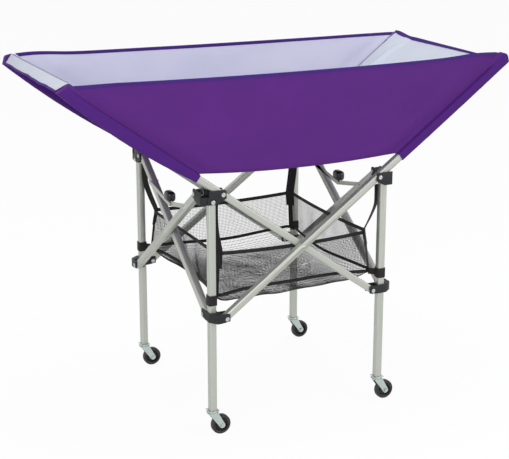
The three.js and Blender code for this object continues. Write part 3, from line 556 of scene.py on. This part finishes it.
def cloth_sheet(name, flat, columns, rows, place, outside_down=False, thickness=CLOTH,
                face=purple, back=lining):
    """A grid of cloth with one material outside and one inside. place gives its points, and
    outside_down turns over a sheet whose points run the other way round."""
    bpy.ops.object.select_all(action="DESELECT")
    bpy.ops.mesh.primitive_grid_add(x_subdivisions=columns, y_subdivisions=rows, size=1)
    piece = bpy.context.object
    piece.name = name
    for corner in piece.data.uv_layers.active.data:
        corner.uv = (corner.uv.x * flat[0], corner.uv.y * flat[1])
    piece.data.uv_layers.active.name = "UVMap"
    for vertex in piece.data.vertices:
        vertex.co = Vector(place(vertex.co.x + 0.5, vertex.co.y + 0.5))
    if outside_down:
        bpy.ops.object.mode_set(mode="EDIT")
        bpy.ops.mesh.select_all(action="SELECT")
        bpy.ops.mesh.flip_normals()
        bpy.ops.object.mode_set(mode="OBJECT")
    piece.data.materials.append(face)
    piece.data.materials.append(back)
    thicken(piece, thickness, 0, 1)
    bpy.ops.object.shade_smooth_by_angle(angle=math.radians(60))
    return piece


def half_turn(piece):
    """Turns a piece made for one side of the cart to the opposite side."""
    piece.data.transform(Matrix.Rotation(math.pi, 4, "Z"))


def lerp(a, b, t):
    return a + (b - a) * t


def ripple(x, y, z, size):
    """A smooth random height from about -1 to 1, with waves of the size given in metres."""
    return noise.noise(Vector((x, y, z)) / size)


def hump(distance, middle, wide):
    """1 in the middle, and falling to 0 on both sides."""
    return math.exp(-((distance - middle) / wide) ** 2)


def seam(v):
    """The seam between wall, end and sleeve, as (along the pole, above it)."""
    return lerp(SLEEVE_START, RIDGE_ALONG, v), lerp(SEAM_LOW, SEAM_HIGH, v)


LOW_X, LOW_Z = on_pole(*seam(0))
HIGH_X, HIGH_Z = on_pole(*seam(1))
BOTTOM_SAG = 14 * MM
BOTTOM_ROUND = 15 * MM
POLE_EDGE = 11 * MM
RIM_TAPE = 8 * MM
WALLS = [
    # Name, how far the rim dips in mm, and place
    ("front", 6, -HALF),
    ("back", 2, HALF),
]


def bottom_z(x):
    """The wall's bottom edge sags in the middle."""
    share = min(abs(x) / LOW_X, 1)
    return LOW_Z - BOTTOM_SAG * (1 - share ** 2.2)


def wall_y(x):
    """The front wall runs from the left pole, in line with the legs, to the right one outside."""
    return -HALF - PITCH * min(max(0.5 + x / (2 * LOW_X), 0), 1)


def rim_z(x, dip):
    """The rim hangs a little between the tips and is lifted just short of the right one."""
    lower = lerp(6.3, 3.9, 0.5 + x / (2 * HIGH_X)) + dip * max(0, 1 - (x / (480 * MM)) ** 2)
    return HIGH_Z - lower * MM + 5.5 * MM * hump(x, 525 * MM, 75 * MM)


def long_wall(dip):
    """A wall from its bottom edge, v = 0, to its rim, v = 1, which dips by some mm in the middle."""
    def place(u, v):
        half = lerp(LOW_X, HIGH_X, v)
        x = (2 * u - 1) * half
        bottom = bottom_z(max(-LOW_X, min(LOW_X, x)))
        z = lerp(bottom, rim_z((2 * u - 1) * HIGH_X, dip), v)
        y = wall_y((2 * u - 1) * LOW_X)
        inside = math.sin(math.pi * min(max(u, 0), 1)) ** 0.5
        # A valley beside each sleeve and a soft ridge beyond it, from the pull of the pole
        dent = 0
        beyond = seam(v)[1] - POLE_EDGE
        for reach, pull in ((half + x, 1.25), (half - x, 1.0)):
            gap = reach * math.sin(ARM_ANGLE) + beyond
            dent += pull * MM * (6.5 * hump(gap, 8 * MM, 8 * MM) - 3.2 * hump(gap, 34 * MM, 15 * MM))
            dent += pull * MM * 1.4 * ripple(x * 2 + z, z - x, 0, 0.05) * hump(gap, 20 * MM, 30 * MM) * v
        wrinkles = (2.2 + 5 * abs(2 * u - 1) ** 3) * MM * ripple(x, 0, z * 2.6, 0.16)
        bulge = inside * (4 * MM * math.sin(math.pi * v) + wrinkles)
        height = z - bottom
        turned = 0
        if height < BOTTOM_ROUND:
            t = 1 - height / BOTTOM_ROUND
            turned = BOTTOM_ROUND * (1 - math.sqrt(max(0, 1 - t * t))) * inside
        # The bottom edge itself lies straight, where the floor is sewn on
        settled = min(1, 8 * v)
        return x, y - bulge * settled + dent * min(settled, 12 * u, 12 * (1 - u)) + turned, z
    return place


def rim_tape(dip):
    """Folded over the wall's upper edge, from its outer face over the top to its inner face."""
    wall = long_wall(dip)

    def place(u, t):
        side = 2 * t - 1
        drop = RIM_TAPE / (HIGH_Z - LOW_Z)
        u = lerp(0.008, 0.99, u)
        x, y, z = wall(u, 1 - drop * abs(side))
        over = 1.0 * MM * math.copysign(min(1, 5 * abs(side)), side)
        return x, y + over, z + 0.8 * MM * (1 - min(1, 5 * abs(side)))
    return place


wall_flat = (2 * HIGH_X, HIGH_Z - LOW_Z + BOTTOM_SAG)
tape_flat = (2 * HIGH_X, 2 * RIM_TAPE)
for side, dip, y in WALLS:
    wall = cloth_sheet(f"cloth_wall_{side}", wall_flat, 220, 64, long_wall(dip))
    tape = cloth_sheet(f"rim_tape_{side}", tape_flat, 120, 10, rim_tape(dip), thickness=TAPE_CLOTH,
                       face=trim, back=trim)
    if side == "back":
        half_turn(wall)
        half_turn(tape)
    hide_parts(f"hammock_wall_{side}")
    for piece in (wall, tape):
        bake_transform(piece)

# The left end is stretched up to a straight ridge between the pole tips and turns down to its hem.
# On the right end the cloth is slack, so it has no ridge and its hem is the upper edge there.
END_NEAR = -HALF
END_FAR = HALF + PITCH
RIDGE_V = 0.88
LIP_INSET = (6 * MM, 13 * MM)
PEAK = 3 * MM
SLACK_DROP = 37 * MM
TURNED_DOWN = 38 * MM

# Pairs for the left end and the right: the belly, the tape's width and its share of the end's height
END_BELLY = (7 * MM, 13 * MM)
HEM_TAPE = (4.5 * MM, 8 * MM)
HEM_SHARE = (0.016, 0.105)
ENDS = [
    # Name, slack, the pole it turns with, and the place it is drawn to when the cart folds
    ("left", 0, "long_arm_front_right", -HALF),
    ("right", 1, "long_arm_front_left", -HALF - PITCH),
]


def end_sheet(slack):
    """An end from its bottom edge over its ridge to its hem. slack is 0 on the left, 1 on the right."""
    def place(u, v):
        hang = 4 * u * (1 - u)
        y = lerp(END_NEAR, END_FAR, u)
        edge = min(u, 1 - u) * (END_FAR - END_NEAR)
        near = min(1, edge / (45 * MM)) ** 0.7
        if v <= RIDGE_V:
            t = v / RIDGE_V
            inset = LIP_INSET[0] * max(0, (t - 0.88) / 0.12)
            along, above = seam(t)
            belly = END_BELLY[slack] * hang ** 0.6 * math.sin(math.pi * t) ** 0.6
            # A valley beside each sleeve and a soft ridge beyond it
            belly += 9 * MM * hump(edge, 17 * MM, 9 * MM) * math.sin(math.pi * t) ** 0.4
            belly -= 5 * MM * hump(edge, 38 * MM, 11 * MM) * math.sin(math.pi * t) ** 0.4
            belly += slack * lerp(PEAK, SLACK_DROP, near) * t ** 4
            belly -= 2 * MM * ripple(y * 1.4, v * 0.3, 0, 0.09) * math.sin(math.pi * t)
            above -= belly
            along += slack * 2 * MM * t ** 5 * near
        else:
            t = (v - RIDGE_V) / (1 - RIDGE_V)
            inset = lerp(*LIP_INSET, t)
            hem_along = lerp(HEM_IN_LINE[0], HEM_OUTSIDE[0], u)
            hem_above = lerp(HEM_IN_LINE[1], HEM_OUTSIDE[1], u)
            ridge_above = SEAM_HIGH - slack * lerp(PEAK, SLACK_DROP, near)
            along = lerp(RIDGE_ALONG + 2 * MM * slack * near, hem_along, t ** 0.8)
            above = lerp(ridge_above, hem_above - slack * MM * hang, t)
            wave = math.sin(y * 31 + 1) + 0.5 * math.sin(y * 73)
            above += (1 - slack) * 0.9 * MM * t * wave
        y = lerp(END_NEAR + inset, END_FAR - inset, u)
        x, z = on_pole(along, above)
        return -x, y, z
    return place


def hem_tape(slack):
    """Folded over the hem of the end sheet, a little above and below its two faces."""
    place = end_sheet(slack)

    def at(u, t):
        side = 2 * t - 1
        corner = min(1, min(u, 1 - u) / 0.09) if slack else 1
        v = 1 - HEM_SHARE[slack] * lerp(1.35, 1, corner) * abs(side)
        point = Vector(place(u, v))
        along = Vector(place(u, min(1, v + 0.004))) - Vector(place(u, v - 0.004))
        outward = along.cross(Vector((0, 1, 0))).normalized()
        fold = min(1, 4 * abs(side))
        point += outward * 1.1 * MM * math.copysign(fold, side)
        return point + along.normalized() * 0.8 * MM * (1 - fold)
    return at


end_flat = (END_FAR - END_NEAR, RIDGE_ALONG - SLEEVE_START + TURNED_DOWN)
ends = [
    cloth_sheet(f"cloth_end_{side}", end_flat, 110, 90, end_sheet(slack), outside_down=True, back=lining_painted_shade)
    for side, slack, body, y in ENDS]
for end, (side, slack, body, y) in zip(ends, ENDS):
    hem = cloth_sheet(f"hem_tape_{side}", (end_flat[0], 2 * HEM_TAPE[slack]), 100, 24, hem_tape(slack),
                      thickness=TAPE_CLOTH, face=trim, back=trim)
    if side == "right":
        half_turn(end)
        half_turn(hem)
    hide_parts(f"hammock_end_{side}")
    for piece in (end, hem):
        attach(piece, body)
        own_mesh(piece)


def hanging_floor(right, rear):
    """A quarter of the hammock's floor, from one pole's foot to the middle."""
    def place(u, v):
        across = 0.5 * v + 0.5 * rear
        x = (u - 1 + right) * LOW_X
        inside = math.sin(math.pi * (0.5 + x / (2 * LOW_X))) ** 0.5 if abs(x) < 0.9999 * LOW_X else 0
        near = wall_y(x) + BOTTOM_ROUND * inside
        far = -wall_y(-x) - BOTTOM_ROUND * inside
        dish = 11 * MM * (4 * across * (1 - across)) ** 0.7 * (1 - (x / LOW_X) ** 2)
        dish += 1.5 * MM * ripple(x, across, 0, 0.11) * inside * math.sin(math.pi * across)
        return x, lerp(near, far, across), bottom_z(x) - dish
    return place


floor_flat = (LOW_X, HALF + PITCH / 2)

# When the cart folds, each quarter of the floor turns with its pole
for place, (sx, sy) in CORNERS.items():
    quarter = cloth_sheet(f"cloth_floor_{place}", floor_flat, 36, 30, hanging_floor(sx < 0, sy < 0),
                          outside_down=True, back=lining_painted_shade)
    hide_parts("hammock_floor")
    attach(quarter, BODY_OF[f"sleeve_{place}"])
    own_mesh(quarter)


# Stitching and crease shadow. A lilac polyester thread closes the seam along each pole inside the hammock,
# and a row of it holds the fold at the left end's ridge. Both rows are drawn as dark cords that also stand
# for painted shadow, in the crease at each seam and in the gap behind the ridge.
STITCH_RADIUS = 0.8 * MM
thread, tree = new_material("polyester sewing thread, lilac, with painted crease shadow")
spot = add(tree, "ShaderNodeTexCoord").outputs["Object"]
lay = add(tree, "ShaderNodeTexNoise", {"Vector": spot, "Scale": 400.0})
tint = add(tree, "ShaderNodeMix", {0: lay.outputs["Fac"], 6: colour("#77728F"), 7: colour("#9894AE")},
           data_type="RGBA")
finish_material(tree, {"Base Color": tint.outputs[2], "Roughness": 0.7})


def stitch_shadow_line(name, points):
    """A row of stitches and the painted shadow beside it, drawn as one thin cord because a single stitch is
    only 3 mm long.
    """
    curve = bpy.data.curves.new(name, "CURVE")
    curve.dimensions = "3D"
    curve.bevel_depth = STITCH_RADIUS
    curve.bevel_resolution = 1
    curve.use_fill_caps = True
    spline = curve.splines.new("POLY")
    spline.points.add(len(points) - 1)
    for knot, point in zip(spline.points, points):
        knot.co = (*point, 1)
    select_only(new_object(name, curve))
    bpy.ops.object.convert(target="MESH")
    piece = bpy.context.object
    piece.data.materials.append(thread)
    bpy.ops.object.shade_smooth_by_angle(angle=math.radians(60))
    return piece


for place, (sx, sy) in CORNERS.items():
    out = HALF + (0 if sx * sy > 0 else PITCH)
    row = []
    for step in range(41):
        x, z = on_pole(*seam(step / 40))
        row.append((-sx * (x - 1.6 * MM), -sy * (out - 1.6 * MM), z - 0.4 * MM))
    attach(stitch_shadow_line(f"seam_stitch_shadow_{place}", row), BODY_OF[f"sleeve_{place}"])
ridge = end_sheet(0)
ridge_row = [
    Vector(ridge(0.015 + 0.97 * step / 60, RIDGE_V)) + Vector((0.5, 0, 0.9)) * MM for step in range(61)]
ridge_line = stitch_shadow_line("ridge_stitch_shadow_left", ridge_row)
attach(ridge_line, "long_arm_front_right")
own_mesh(ridge_line)


# Sleeves. Each is a cloth tube sewn tight round its square pole, pinched where it meets the wall.
# Near the tip it is pulled up to a point, and it is closed at its slanting end.
SLEEVE_HALF = 10.6 * MM
SLEEVE_ROWS = 60
SLEEVE_GIRTH = 88 * MM
SLEEVE_LONG = RIDGE_ALONG - SLEEVE_START

# The outline of one side, from the top of the fin to the middle underneath: (how wide, how high
# above the pole or None, how far below the fin's top)
RIB_OUTLINE = [(0, None, 0), (0.9, None, 0.6), (0.9, None, 2), (1, 11.6, 0), (2.6, 11.2, 0), (6.2, 10.8, 0),
               (8.5, 10, 0), (10, 8.5, 0), (10.6, 6.4, 0), (10.7, 3, 0), (10.8, 0, 0), (10.7, -3, 0),
               (10.6, -6.4, 0), (10, -8.5, 0), (8.5, -10, 0), (6.2, -10.7, 0), (0, -10.8, 0)]
POINT_ROWS = 9

# How far the slanting end reaches beyond the last row, by the height above the pole
END_IN_LINE = [(-11, 16.5), (-4, 12.5), (24, 0)]
END_OUTSIDE = [(-11, 1.5), (-8, 2.5), (8, 8.5), (12, 9), (24, 0)]

# The left sleeves hang loose below their poles, the right ones are drawn tight
LOOSE = {"front_left": 11 * MM, "back_left": 8 * MM, "front_right": 1 * MM, "back_right": 1 * MM}
# The tube is the walls' purple cloth drawn darker and bluer: painted shade of the rib and of the valley
# beside it
violet = woven("coated polyester on the poles, purple with painted shade", "#52217F", "#461B70", 0.6)


def between(points, at):
    """Reads a list of (position, value) pairs, straight between two of them."""
    for (a, low), (b, high) in zip(points, points[1:]):
        if at <= b:
            return lerp(low, high, max(0, (at - a) / (b - a)))
    return points[-1][1]


def sleeve_outline(top, pointed):
    """The tube's outline at one place as (how wide, how high above the pole) pairs."""
    points = []
    for index, (wide, above, below_top) in enumerate(RIB_OUTLINE):
        above = top - below_top * MM if above is None else above * MM
        wide *= MM
        if index < POINT_ROWS:
            share = index / (POINT_ROWS - 1)
            wide = lerp(wide, SLEEVE_HALF * share, pointed)
            above = lerp(above, lerp(top, 6.4 * MM, share), pointed)
        points.append((wide, above))
    return points + [(-wide, above) for wide, above in reversed(points[1:-1])]


def mesh_piece(name, points, faces, materials, uvs=None):
    """A new piece, with one UV for each of its points."""
    mesh = bpy.data.meshes.new(name)
    mesh.from_pydata(points, [], faces)
    if uvs:
        layer = mesh.uv_layers.new(name="UVMap")
        for loop in mesh.loops:
            layer.data[loop.index].uv = uvs[loop.vertex_index]
    for material in materials:
        mesh.materials.append(material)
    return new_object(name, mesh)


def face_outwards(piece):
    """Turns the faces of a new mesh outwards."""
    edit_all(piece)
    bpy.ops.mesh.normals_make_consistent(inside=False)
    bpy.ops.object.mode_set(mode="OBJECT")


def sleeve_tube(name, end, sag):
    """The tube of a right sleeve, on the cart's middle line. Its underside sags below the pole."""
    rings = []
    for row in range(SLEEVE_ROWS + 1):
        v = row / SLEEVE_ROWS
        along, top = seam(v)
        ring = []
        tip = max(0, (v - 0.8) / 0.2)
        for wide, above in sleeve_outline(top, tip * tip * (3 - 2 * tip)):
            # The last third leans over to the slanting end
            lean = max(0, (v - 0.66) / 0.34) * between(end, above / MM) * MM
            loose = 0.5 * MM * ripple(along * 2.2, above * 1.5, wide, 0.035) * min(1, 8 * v)
            if above < 0:
                above *= 1 + sag / (10.8 * MM) * math.sin(math.pi * min(1, max(0, (v - 0.04) / 0.94))) ** 0.8
            x, z = on_pole(along + lean, above + loose * 0.6)
            ring.append((x, wide + math.copysign(loose, wide) if abs(wide) > 5 * MM else wide, z))
        rings.append(ring)
    count = len(rings[0])
    points = [p for ring in rings for p in ring]
    uvs = [(row / SLEEVE_ROWS * SLEEVE_LONG, i / count * SLEEVE_GIRTH)
           for row in range(SLEEVE_ROWS + 1) for i in range(count)]
    faces = []
    for row in range(SLEEVE_ROWS):
        for i in range(count):
            a, b = row * count + i, row * count + (i + 1) % count
            faces.append((a, b, b + count, a + count))
    faces.append(tuple(range(SLEEVE_ROWS * count, SLEEVE_ROWS * count + count)))
    piece = mesh_piece(name, points, faces, (violet, purple), uvs)
    for index, face in enumerate(piece.data.polygons):
        # The fin above the pole keeps the walls' and ends' purple, and the rest of the tube is the same cloth
        # drawn darker as painted shade
        face.material_index = 1 if index % count < 3 or index % count >= count - 3 else 0
    face_outwards(piece)
    thicken(piece, 0.8 * MM, -1)
    bpy.ops.object.shade_smooth_by_angle(angle=math.radians(50))
    return piece


for place, (sx, sy) in CORNERS.items():
    in_line = sx * sy > 0
    piece = sleeve_tube(f"pole_sleeve_{place}", END_IN_LINE if in_line else END_OUTSIDE, LOOSE[place])
    out = HALF + (0 if in_line else PITCH)
    if sx > 0:
        half_turn(piece)
    piece.data.transform(Matrix.Translation((0, -sy * out, 0)))
    stand_for(piece, f"sleeve_{place}")


# Basket. Black knotless polyester net, four walls and a floor, edged with folded woven tape. It hangs
# from the brackets by its corner straps and is held down by a loop round each leg.
RIM_HALF = 218.5 * MM
RIM_Z = 477 * MM
RIM_BOW = 5 * MM
EDGE_HALF = 228.5 * MM
EDGE_Z = 366 * MM
EDGE_BOW = 26 * MM
CORNER = 14 * MM
NET_PITCH = 4.4 * MM
THREAD = 0.4 * MM
FLOOR_DROP = 46 * MM
FLOOR_BEND = 17 * MM
TAPE_WIDE = 10 * MM
TAPE_THICK = 1.8 * MM
RIB_DRAWN = 1.6 * MM


def net_thread():
    """Polyester net thread: dull black, fuzzy from its filaments, which are too fine to draw."""
    material, tree = new_material("polyester net thread, black")
    place = add(tree, "ShaderNodeTexCoord").outputs["Object"]
    fuzz = add(tree, "ShaderNodeTexNoise", {"Vector": place, "Scale": 700.0, "Detail": 2.0})
    base = add(tree, "ShaderNodeMix", {
        0: fuzz.outputs["Fac"], 6: colour("#0D0D0E"), 7: colour("#1E1E20")}, data_type="RGBA")
    finish_material(tree, {"Base Color": base.outputs[2], "Roughness": 0.8, "Specular IOR Level": 0.2})
    return material


def webbing():
    """Woven polyester webbing: black, with ribs 1 mm apart across it, drawn 1.6 mm apart."""
    material, tree = new_material("polyester webbing, woven black")
    flat = add(tree, "ShaderNodeUVMap", uv_map="UVMap")
    split = add(tree, "ShaderNodeSeparateXYZ", {0: flat.outputs[0]})
    phase = add(tree, "ShaderNodeMath", {0: split.outputs["X"], 1: 2 * math.pi / RIB_DRAWN},
                operation="MULTIPLY")
    ribs = add(tree, "ShaderNodeMath", {0: phase.outputs[0]}, operation="SINE")
    place = add(tree, "ShaderNodeTexCoord").outputs["Object"]
    wear = add(tree, "ShaderNodeTexNoise", {"Vector": place, "Scale": 120.0, "Detail": 3.0})
    base = add(tree, "ShaderNodeMix", {
        0: wear.outputs["Fac"], 6: colour("#121011"), 7: colour("#211D1E")}, data_type="RGBA")
    bump = add(tree, "ShaderNodeBump", {
        "Height": ribs.outputs[0], "Strength": 0.5, "Distance": 0.15 * MM})
    finish_material(tree, {
        "Base Color": base.outputs[2], "Roughness": 0.7, "Specular IOR Level": 0.3,
        "Normal": bump.outputs[0]})
    return material


def net_panel(name, place, columns, rows, steps=(36, 12)):
    """Threads with four sides along both directions of the surface that place gives."""
    points, faces = [], []

    def thread(at, count):
        ring = None
        for step in range(count + 1):
            u, v = at(step / count)
            p = Vector(place(u, v))
            ahead = Vector(place(*at(min(1, step / count + 0.01))))
            along = ahead - Vector(place(*at(max(0, step / count - 0.01))))
            side = along.cross(Vector((0.31, 0.23, 0.92))).normalized() * THREAD
            up = side.cross(along).normalized() * THREAD
            first = len(points)
            points.extend([p + side, p + up, p - side, p - up])
            if ring is not None:
                for i in range(4):
                    j = (i + 1) % 4
                    faces.append((ring + i, first + i, first + j, ring + j))
            ring = first

    for column in range(1, columns):
        thread(lambda t, u=column / columns: (u, t), steps[1])
    for row in range(1, rows):
        thread(lambda t, v=row / rows: (t, v), steps[0])
    piece = mesh_piece(name, points, faces, [net_black])
    face_outwards(piece)
    bpy.ops.object.shade_smooth_by_angle(angle=math.radians(100))
    return piece


def band(name, spine, across, outward, wide, thick, closed=False):
    """A flat woven band with rounded edges along a line of points. across and outward are one
    direction for the whole band or one for each point."""
    edge = thick / wide / 4
    section = [(0.5, -0.25), (0.5, 0.25), (0.5 - edge, 0.5), (-0.5 + edge, 0.5),
               (-0.5, 0.25), (-0.5, -0.25), (-0.5 + edge, -0.5), (0.5 - edge, -0.5)]
    points, uvs, faces = [], [], []
    run = 0
    for index, p in enumerate(spine):
        a = Vector(across[index] if isinstance(across, list) else across).normalized()
        o = Vector(outward[index] if isinstance(outward, list) else outward).normalized()
        if index:
            run += (Vector(p) - Vector(spine[index - 1])).length
        for w, t in section:
            points.append(Vector(p) + a * w * wide + o * t * thick)
            uvs.append((run, w * wide))
    count = len(section)
    rings = len(spine)
    for ring in range(rings if closed else rings - 1):
        for i in range(count):
            j = (i + 1) % count
            a, b = ring * count, (ring + 1) % rings * count
            faces.append((a + i, b + i, b + j, a + j))
    if not closed:
        faces.append(tuple(range(count)))
        faces.append(tuple(range((rings - 1) * count, rings * count)))
    piece = mesh_piece(name, points, faces, [woven_black], uvs)
    face_outwards(piece)
    bpy.ops.object.shade_smooth_by_angle(angle=math.radians(40))
    return piece


def basket_wall(sag):
    """The front wall's net, from its bottom tape to its rim, bowed in toward the middle."""
    def place(u, v):
        half = lerp(EDGE_HALF, RIM_HALF, v)
        reach = half - CORNER
        x = (2 * u - 1) * (half - CORNER / 2)
        belly = 1 - min(1, abs(x) / reach) ** 2
        slack = math.sin(math.pi * v) * math.sin(math.pi * u)
        y = -half + max(lerp(EDGE_BOW, RIM_BOW, v) * belly, abs(x) - reach)
        y -= slack * (5 * MM + 5 * MM * ripple(x * 1.5, v * 0.1, sag, 0.07))
        wave = 2.5 * MM * math.sin(2.6 * math.pi * u + 0.6) * belly
        z = lerp(EDGE_Z + wave, RIM_Z - sag * belly, v)
        return x, y, z
    return place


def basket_floor(side):
    """Half of the floor's net. It drops steeply inside its tape and lies nearly level beyond."""
    edge = basket_wall(0)

    def place(u, v):
        a = 2 * u - 1
        b = v - 1 if side < 0 else v
        across = edge(u, 0)
        beside = edge((b + 1) / 2, 0)
        x = a * -beside[1]
        y = b * -across[1]
        rise = lerp(across[2], EDGE_Z, 1 - abs(b))
        drop = FLOOR_DROP
        for t in (a, b):
            drop *= 1 - math.exp(-(1 - abs(t)) * EDGE_HALF / FLOOR_BEND)
        drop *= 0.82 + 0.18 * (1 - a * a)
        drop += 3.5 * ripple(x * 1.3, y, 0, 0.07) * MM * drop / FLOOR_DROP
        return x, y, rise - drop
    return place


net_black = net_thread()
woven_black = webbing()

# How many threads a wall has each way
wall_count = (round(2 * (EDGE_HALF - CORNER / 2) / NET_PITCH), round((RIM_Z - EDGE_Z) / NET_PITCH))
SIDES = [
    # Name, quarter turns from the front, sag of the rim, body, and direction it is drawn together in
    ("front", 0, 9 * MM, "leg_front_left", (1, 0, 0)),
    ("right", 1, 3 * MM, "leg_front_right", (0, 1, 0)),
    ("back", 2, 3 * MM, "leg_back_left", (1, 0, 0)),
    ("left", 3, 3 * MM, "leg_front_left", (0, 1, 0)),
]
for side, turns, sag, body, axis in SIDES:
    turn = Matrix.Rotation(turns * math.pi / 2, 4, "Z")
    surface = basket_wall(sag)
    steps = [step / 40 for step in range(41)]
    rim = [surface(u, 1) for u in steps]
    edge = [surface(u, 0) for u in steps]
    pieces = [
        net_panel(f"net_wall_{side}", surface, *wall_count),
        band(f"rim_binding_{side}", [(x, y, z - TAPE_WIDE / 2) for x, y, z in rim], (0, 0, 1), (0, -1, 0),
             TAPE_WIDE, TAPE_THICK),
        band(f"edge_binding_{side}", edge, (0, 0.2, 1), (0, -1, 0.2), TAPE_WIDE - MM, TAPE_THICK),
    ]
    for piece in pieces:
        piece.data.transform(turn)
    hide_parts("basket")
    for piece in pieces:
        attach(piece, body)
        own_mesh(piece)

floor_count = round(2 * EDGE_HALF / NET_PITCH)
for side, sign, body in (("front", -1, "leg_front_left"), ("back", 1, "leg_back_left")):
    piece = net_panel(f"net_floor_{side}", basket_floor(sign), floor_count, floor_count // 2, steps=(60, 34))
    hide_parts("basket")
    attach(piece, body)
    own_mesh(piece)


# Straps and leg loops. Each strap is 25 mm webbing, sewn into the bracket above, that runs down the
# leg's inner corner, slants to the rim and is lapped down the net's corner. The loop is 26 mm tall.
STRAP_WIDE = 25 * MM
STRAP_THICK = 1.6 * MM
STRAP_TWIST = math.radians(16)
STRAP_TOP = 604 * MM

# Points of the strap as (inward from the middle of the leg, height) in mm
STRAP_PATH = [(14, 604), (14.2, 575), (16.5, 549), (30, 512), (44, 481), (46, 470), (42.5, 452), (39.5, 434)]
LOOP_HALF = 10.9 * MM
LOOP_ROUND = 4.5 * MM
LOOP_Z = 364 * MM
LOOP_TALL = 26 * MM
BINDING_BELOW = 4 * MM

# The tongue that joins a loop to the net: its points inward in mm, and its width and thickness
TONGUE_RUN = (13, 19, 25, 32)
TONGUE = (17 * MM, 3.4 * MM)


def smooth_line(points, steps):
    """A curve through the points, with a few steps between each two."""
    line = []
    last = len(points) - 1
    for index in range(last):
        p0, p1, p2, p3 = (Vector(points[min(max(index + k, 0), last)]) for k in (-1, 0, 1, 2))
        for step in range(steps):
            t = step / steps
            line.append(0.5 * (2 * p1 + (p2 - p0) * t + (2 * p0 - 5 * p1 + 4 * p2 - p3) * t ** 2
                               + (3 * p1 - p0 - 3 * p2 + p3) * t ** 3))
    return line + [Vector(points[last])]


for place, (sx, sy) in CORNERS.items():
    corner = Vector((-sx * HALF, -sy * HALF, 0))
    inward = Vector((sx, sy, 0)).normalized()
    side = Vector((sx, -sy, 0)).normalized()
    up = Vector((0, 0, 1))
    strap_line = smooth_line([(d, z, 0) for d, z in STRAP_PATH], 6)
    path = [corner + inward * p.x * MM + up * p.y * MM for p in strap_line]
    across, outward = [], []
    for index, point in enumerate(path):
        # The strap leaves its bracket a little turned and lies square on the net
        turned = STRAP_TWIST * min(1, max(0, (point.z - RIM_Z) / (STRAP_TOP - RIM_Z)))
        across.append(Matrix.Rotation(sx * sy * turned, 3, "Z") @ side)
        along = path[min(index + 1, len(path) - 1)] - path[max(index - 1, 0)]
        outward.append(along.cross(across[-1]).normalized())
    strap = band(f"hanging_strap_{place}", path, across, outward, STRAP_WIDE, STRAP_THICK)
    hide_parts(f"strap_{place}")
    ring, out = [], []
    for quarter, middle in enumerate(((1, 1, 0), (-1, 1, 0), (-1, -1, 0), (1, -1, 0))):
        for step in range(5):
            angle = quarter * math.pi / 2 + step * math.pi / 8
            direction = Vector((math.cos(angle), math.sin(angle), 0))
            centre = corner + Vector(middle) * (LOOP_HALF - LOOP_ROUND)
            ring.append(centre + direction * LOOP_ROUND + up * LOOP_Z)
            out.append(direction)
    loop = band(f"webbing_loop_{place}", ring, up, out, LOOP_TALL, STRAP_THICK, closed=True)
    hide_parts(f"leg_loop_{place}")
    tongue_line = [corner + inward * d * MM + up * LOOP_Z for d in TONGUE_RUN]
    tongue = band(f"loop_tongue_{place}", tongue_line, up, side, *TONGUE)
    net_corner = []
    for t in (0, 0.25, 0.5, 0.75, 1):
        inset = HALF - lerp(EDGE_HALF, RIM_HALF, t) + CORNER / 2 - 0.6 * MM
        net_corner.append(
            corner + inward * inset * math.sqrt(2) + up * lerp(EDGE_Z - BINDING_BELOW, RIM_Z, t))
    binding = band(f"corner_binding_{place}", net_corner, side, inward, TAPE_WIDE + 3 * MM, TAPE_THICK)
    for piece in (strap, loop, tongue, binding):
        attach(piece, f"leg_{place}")
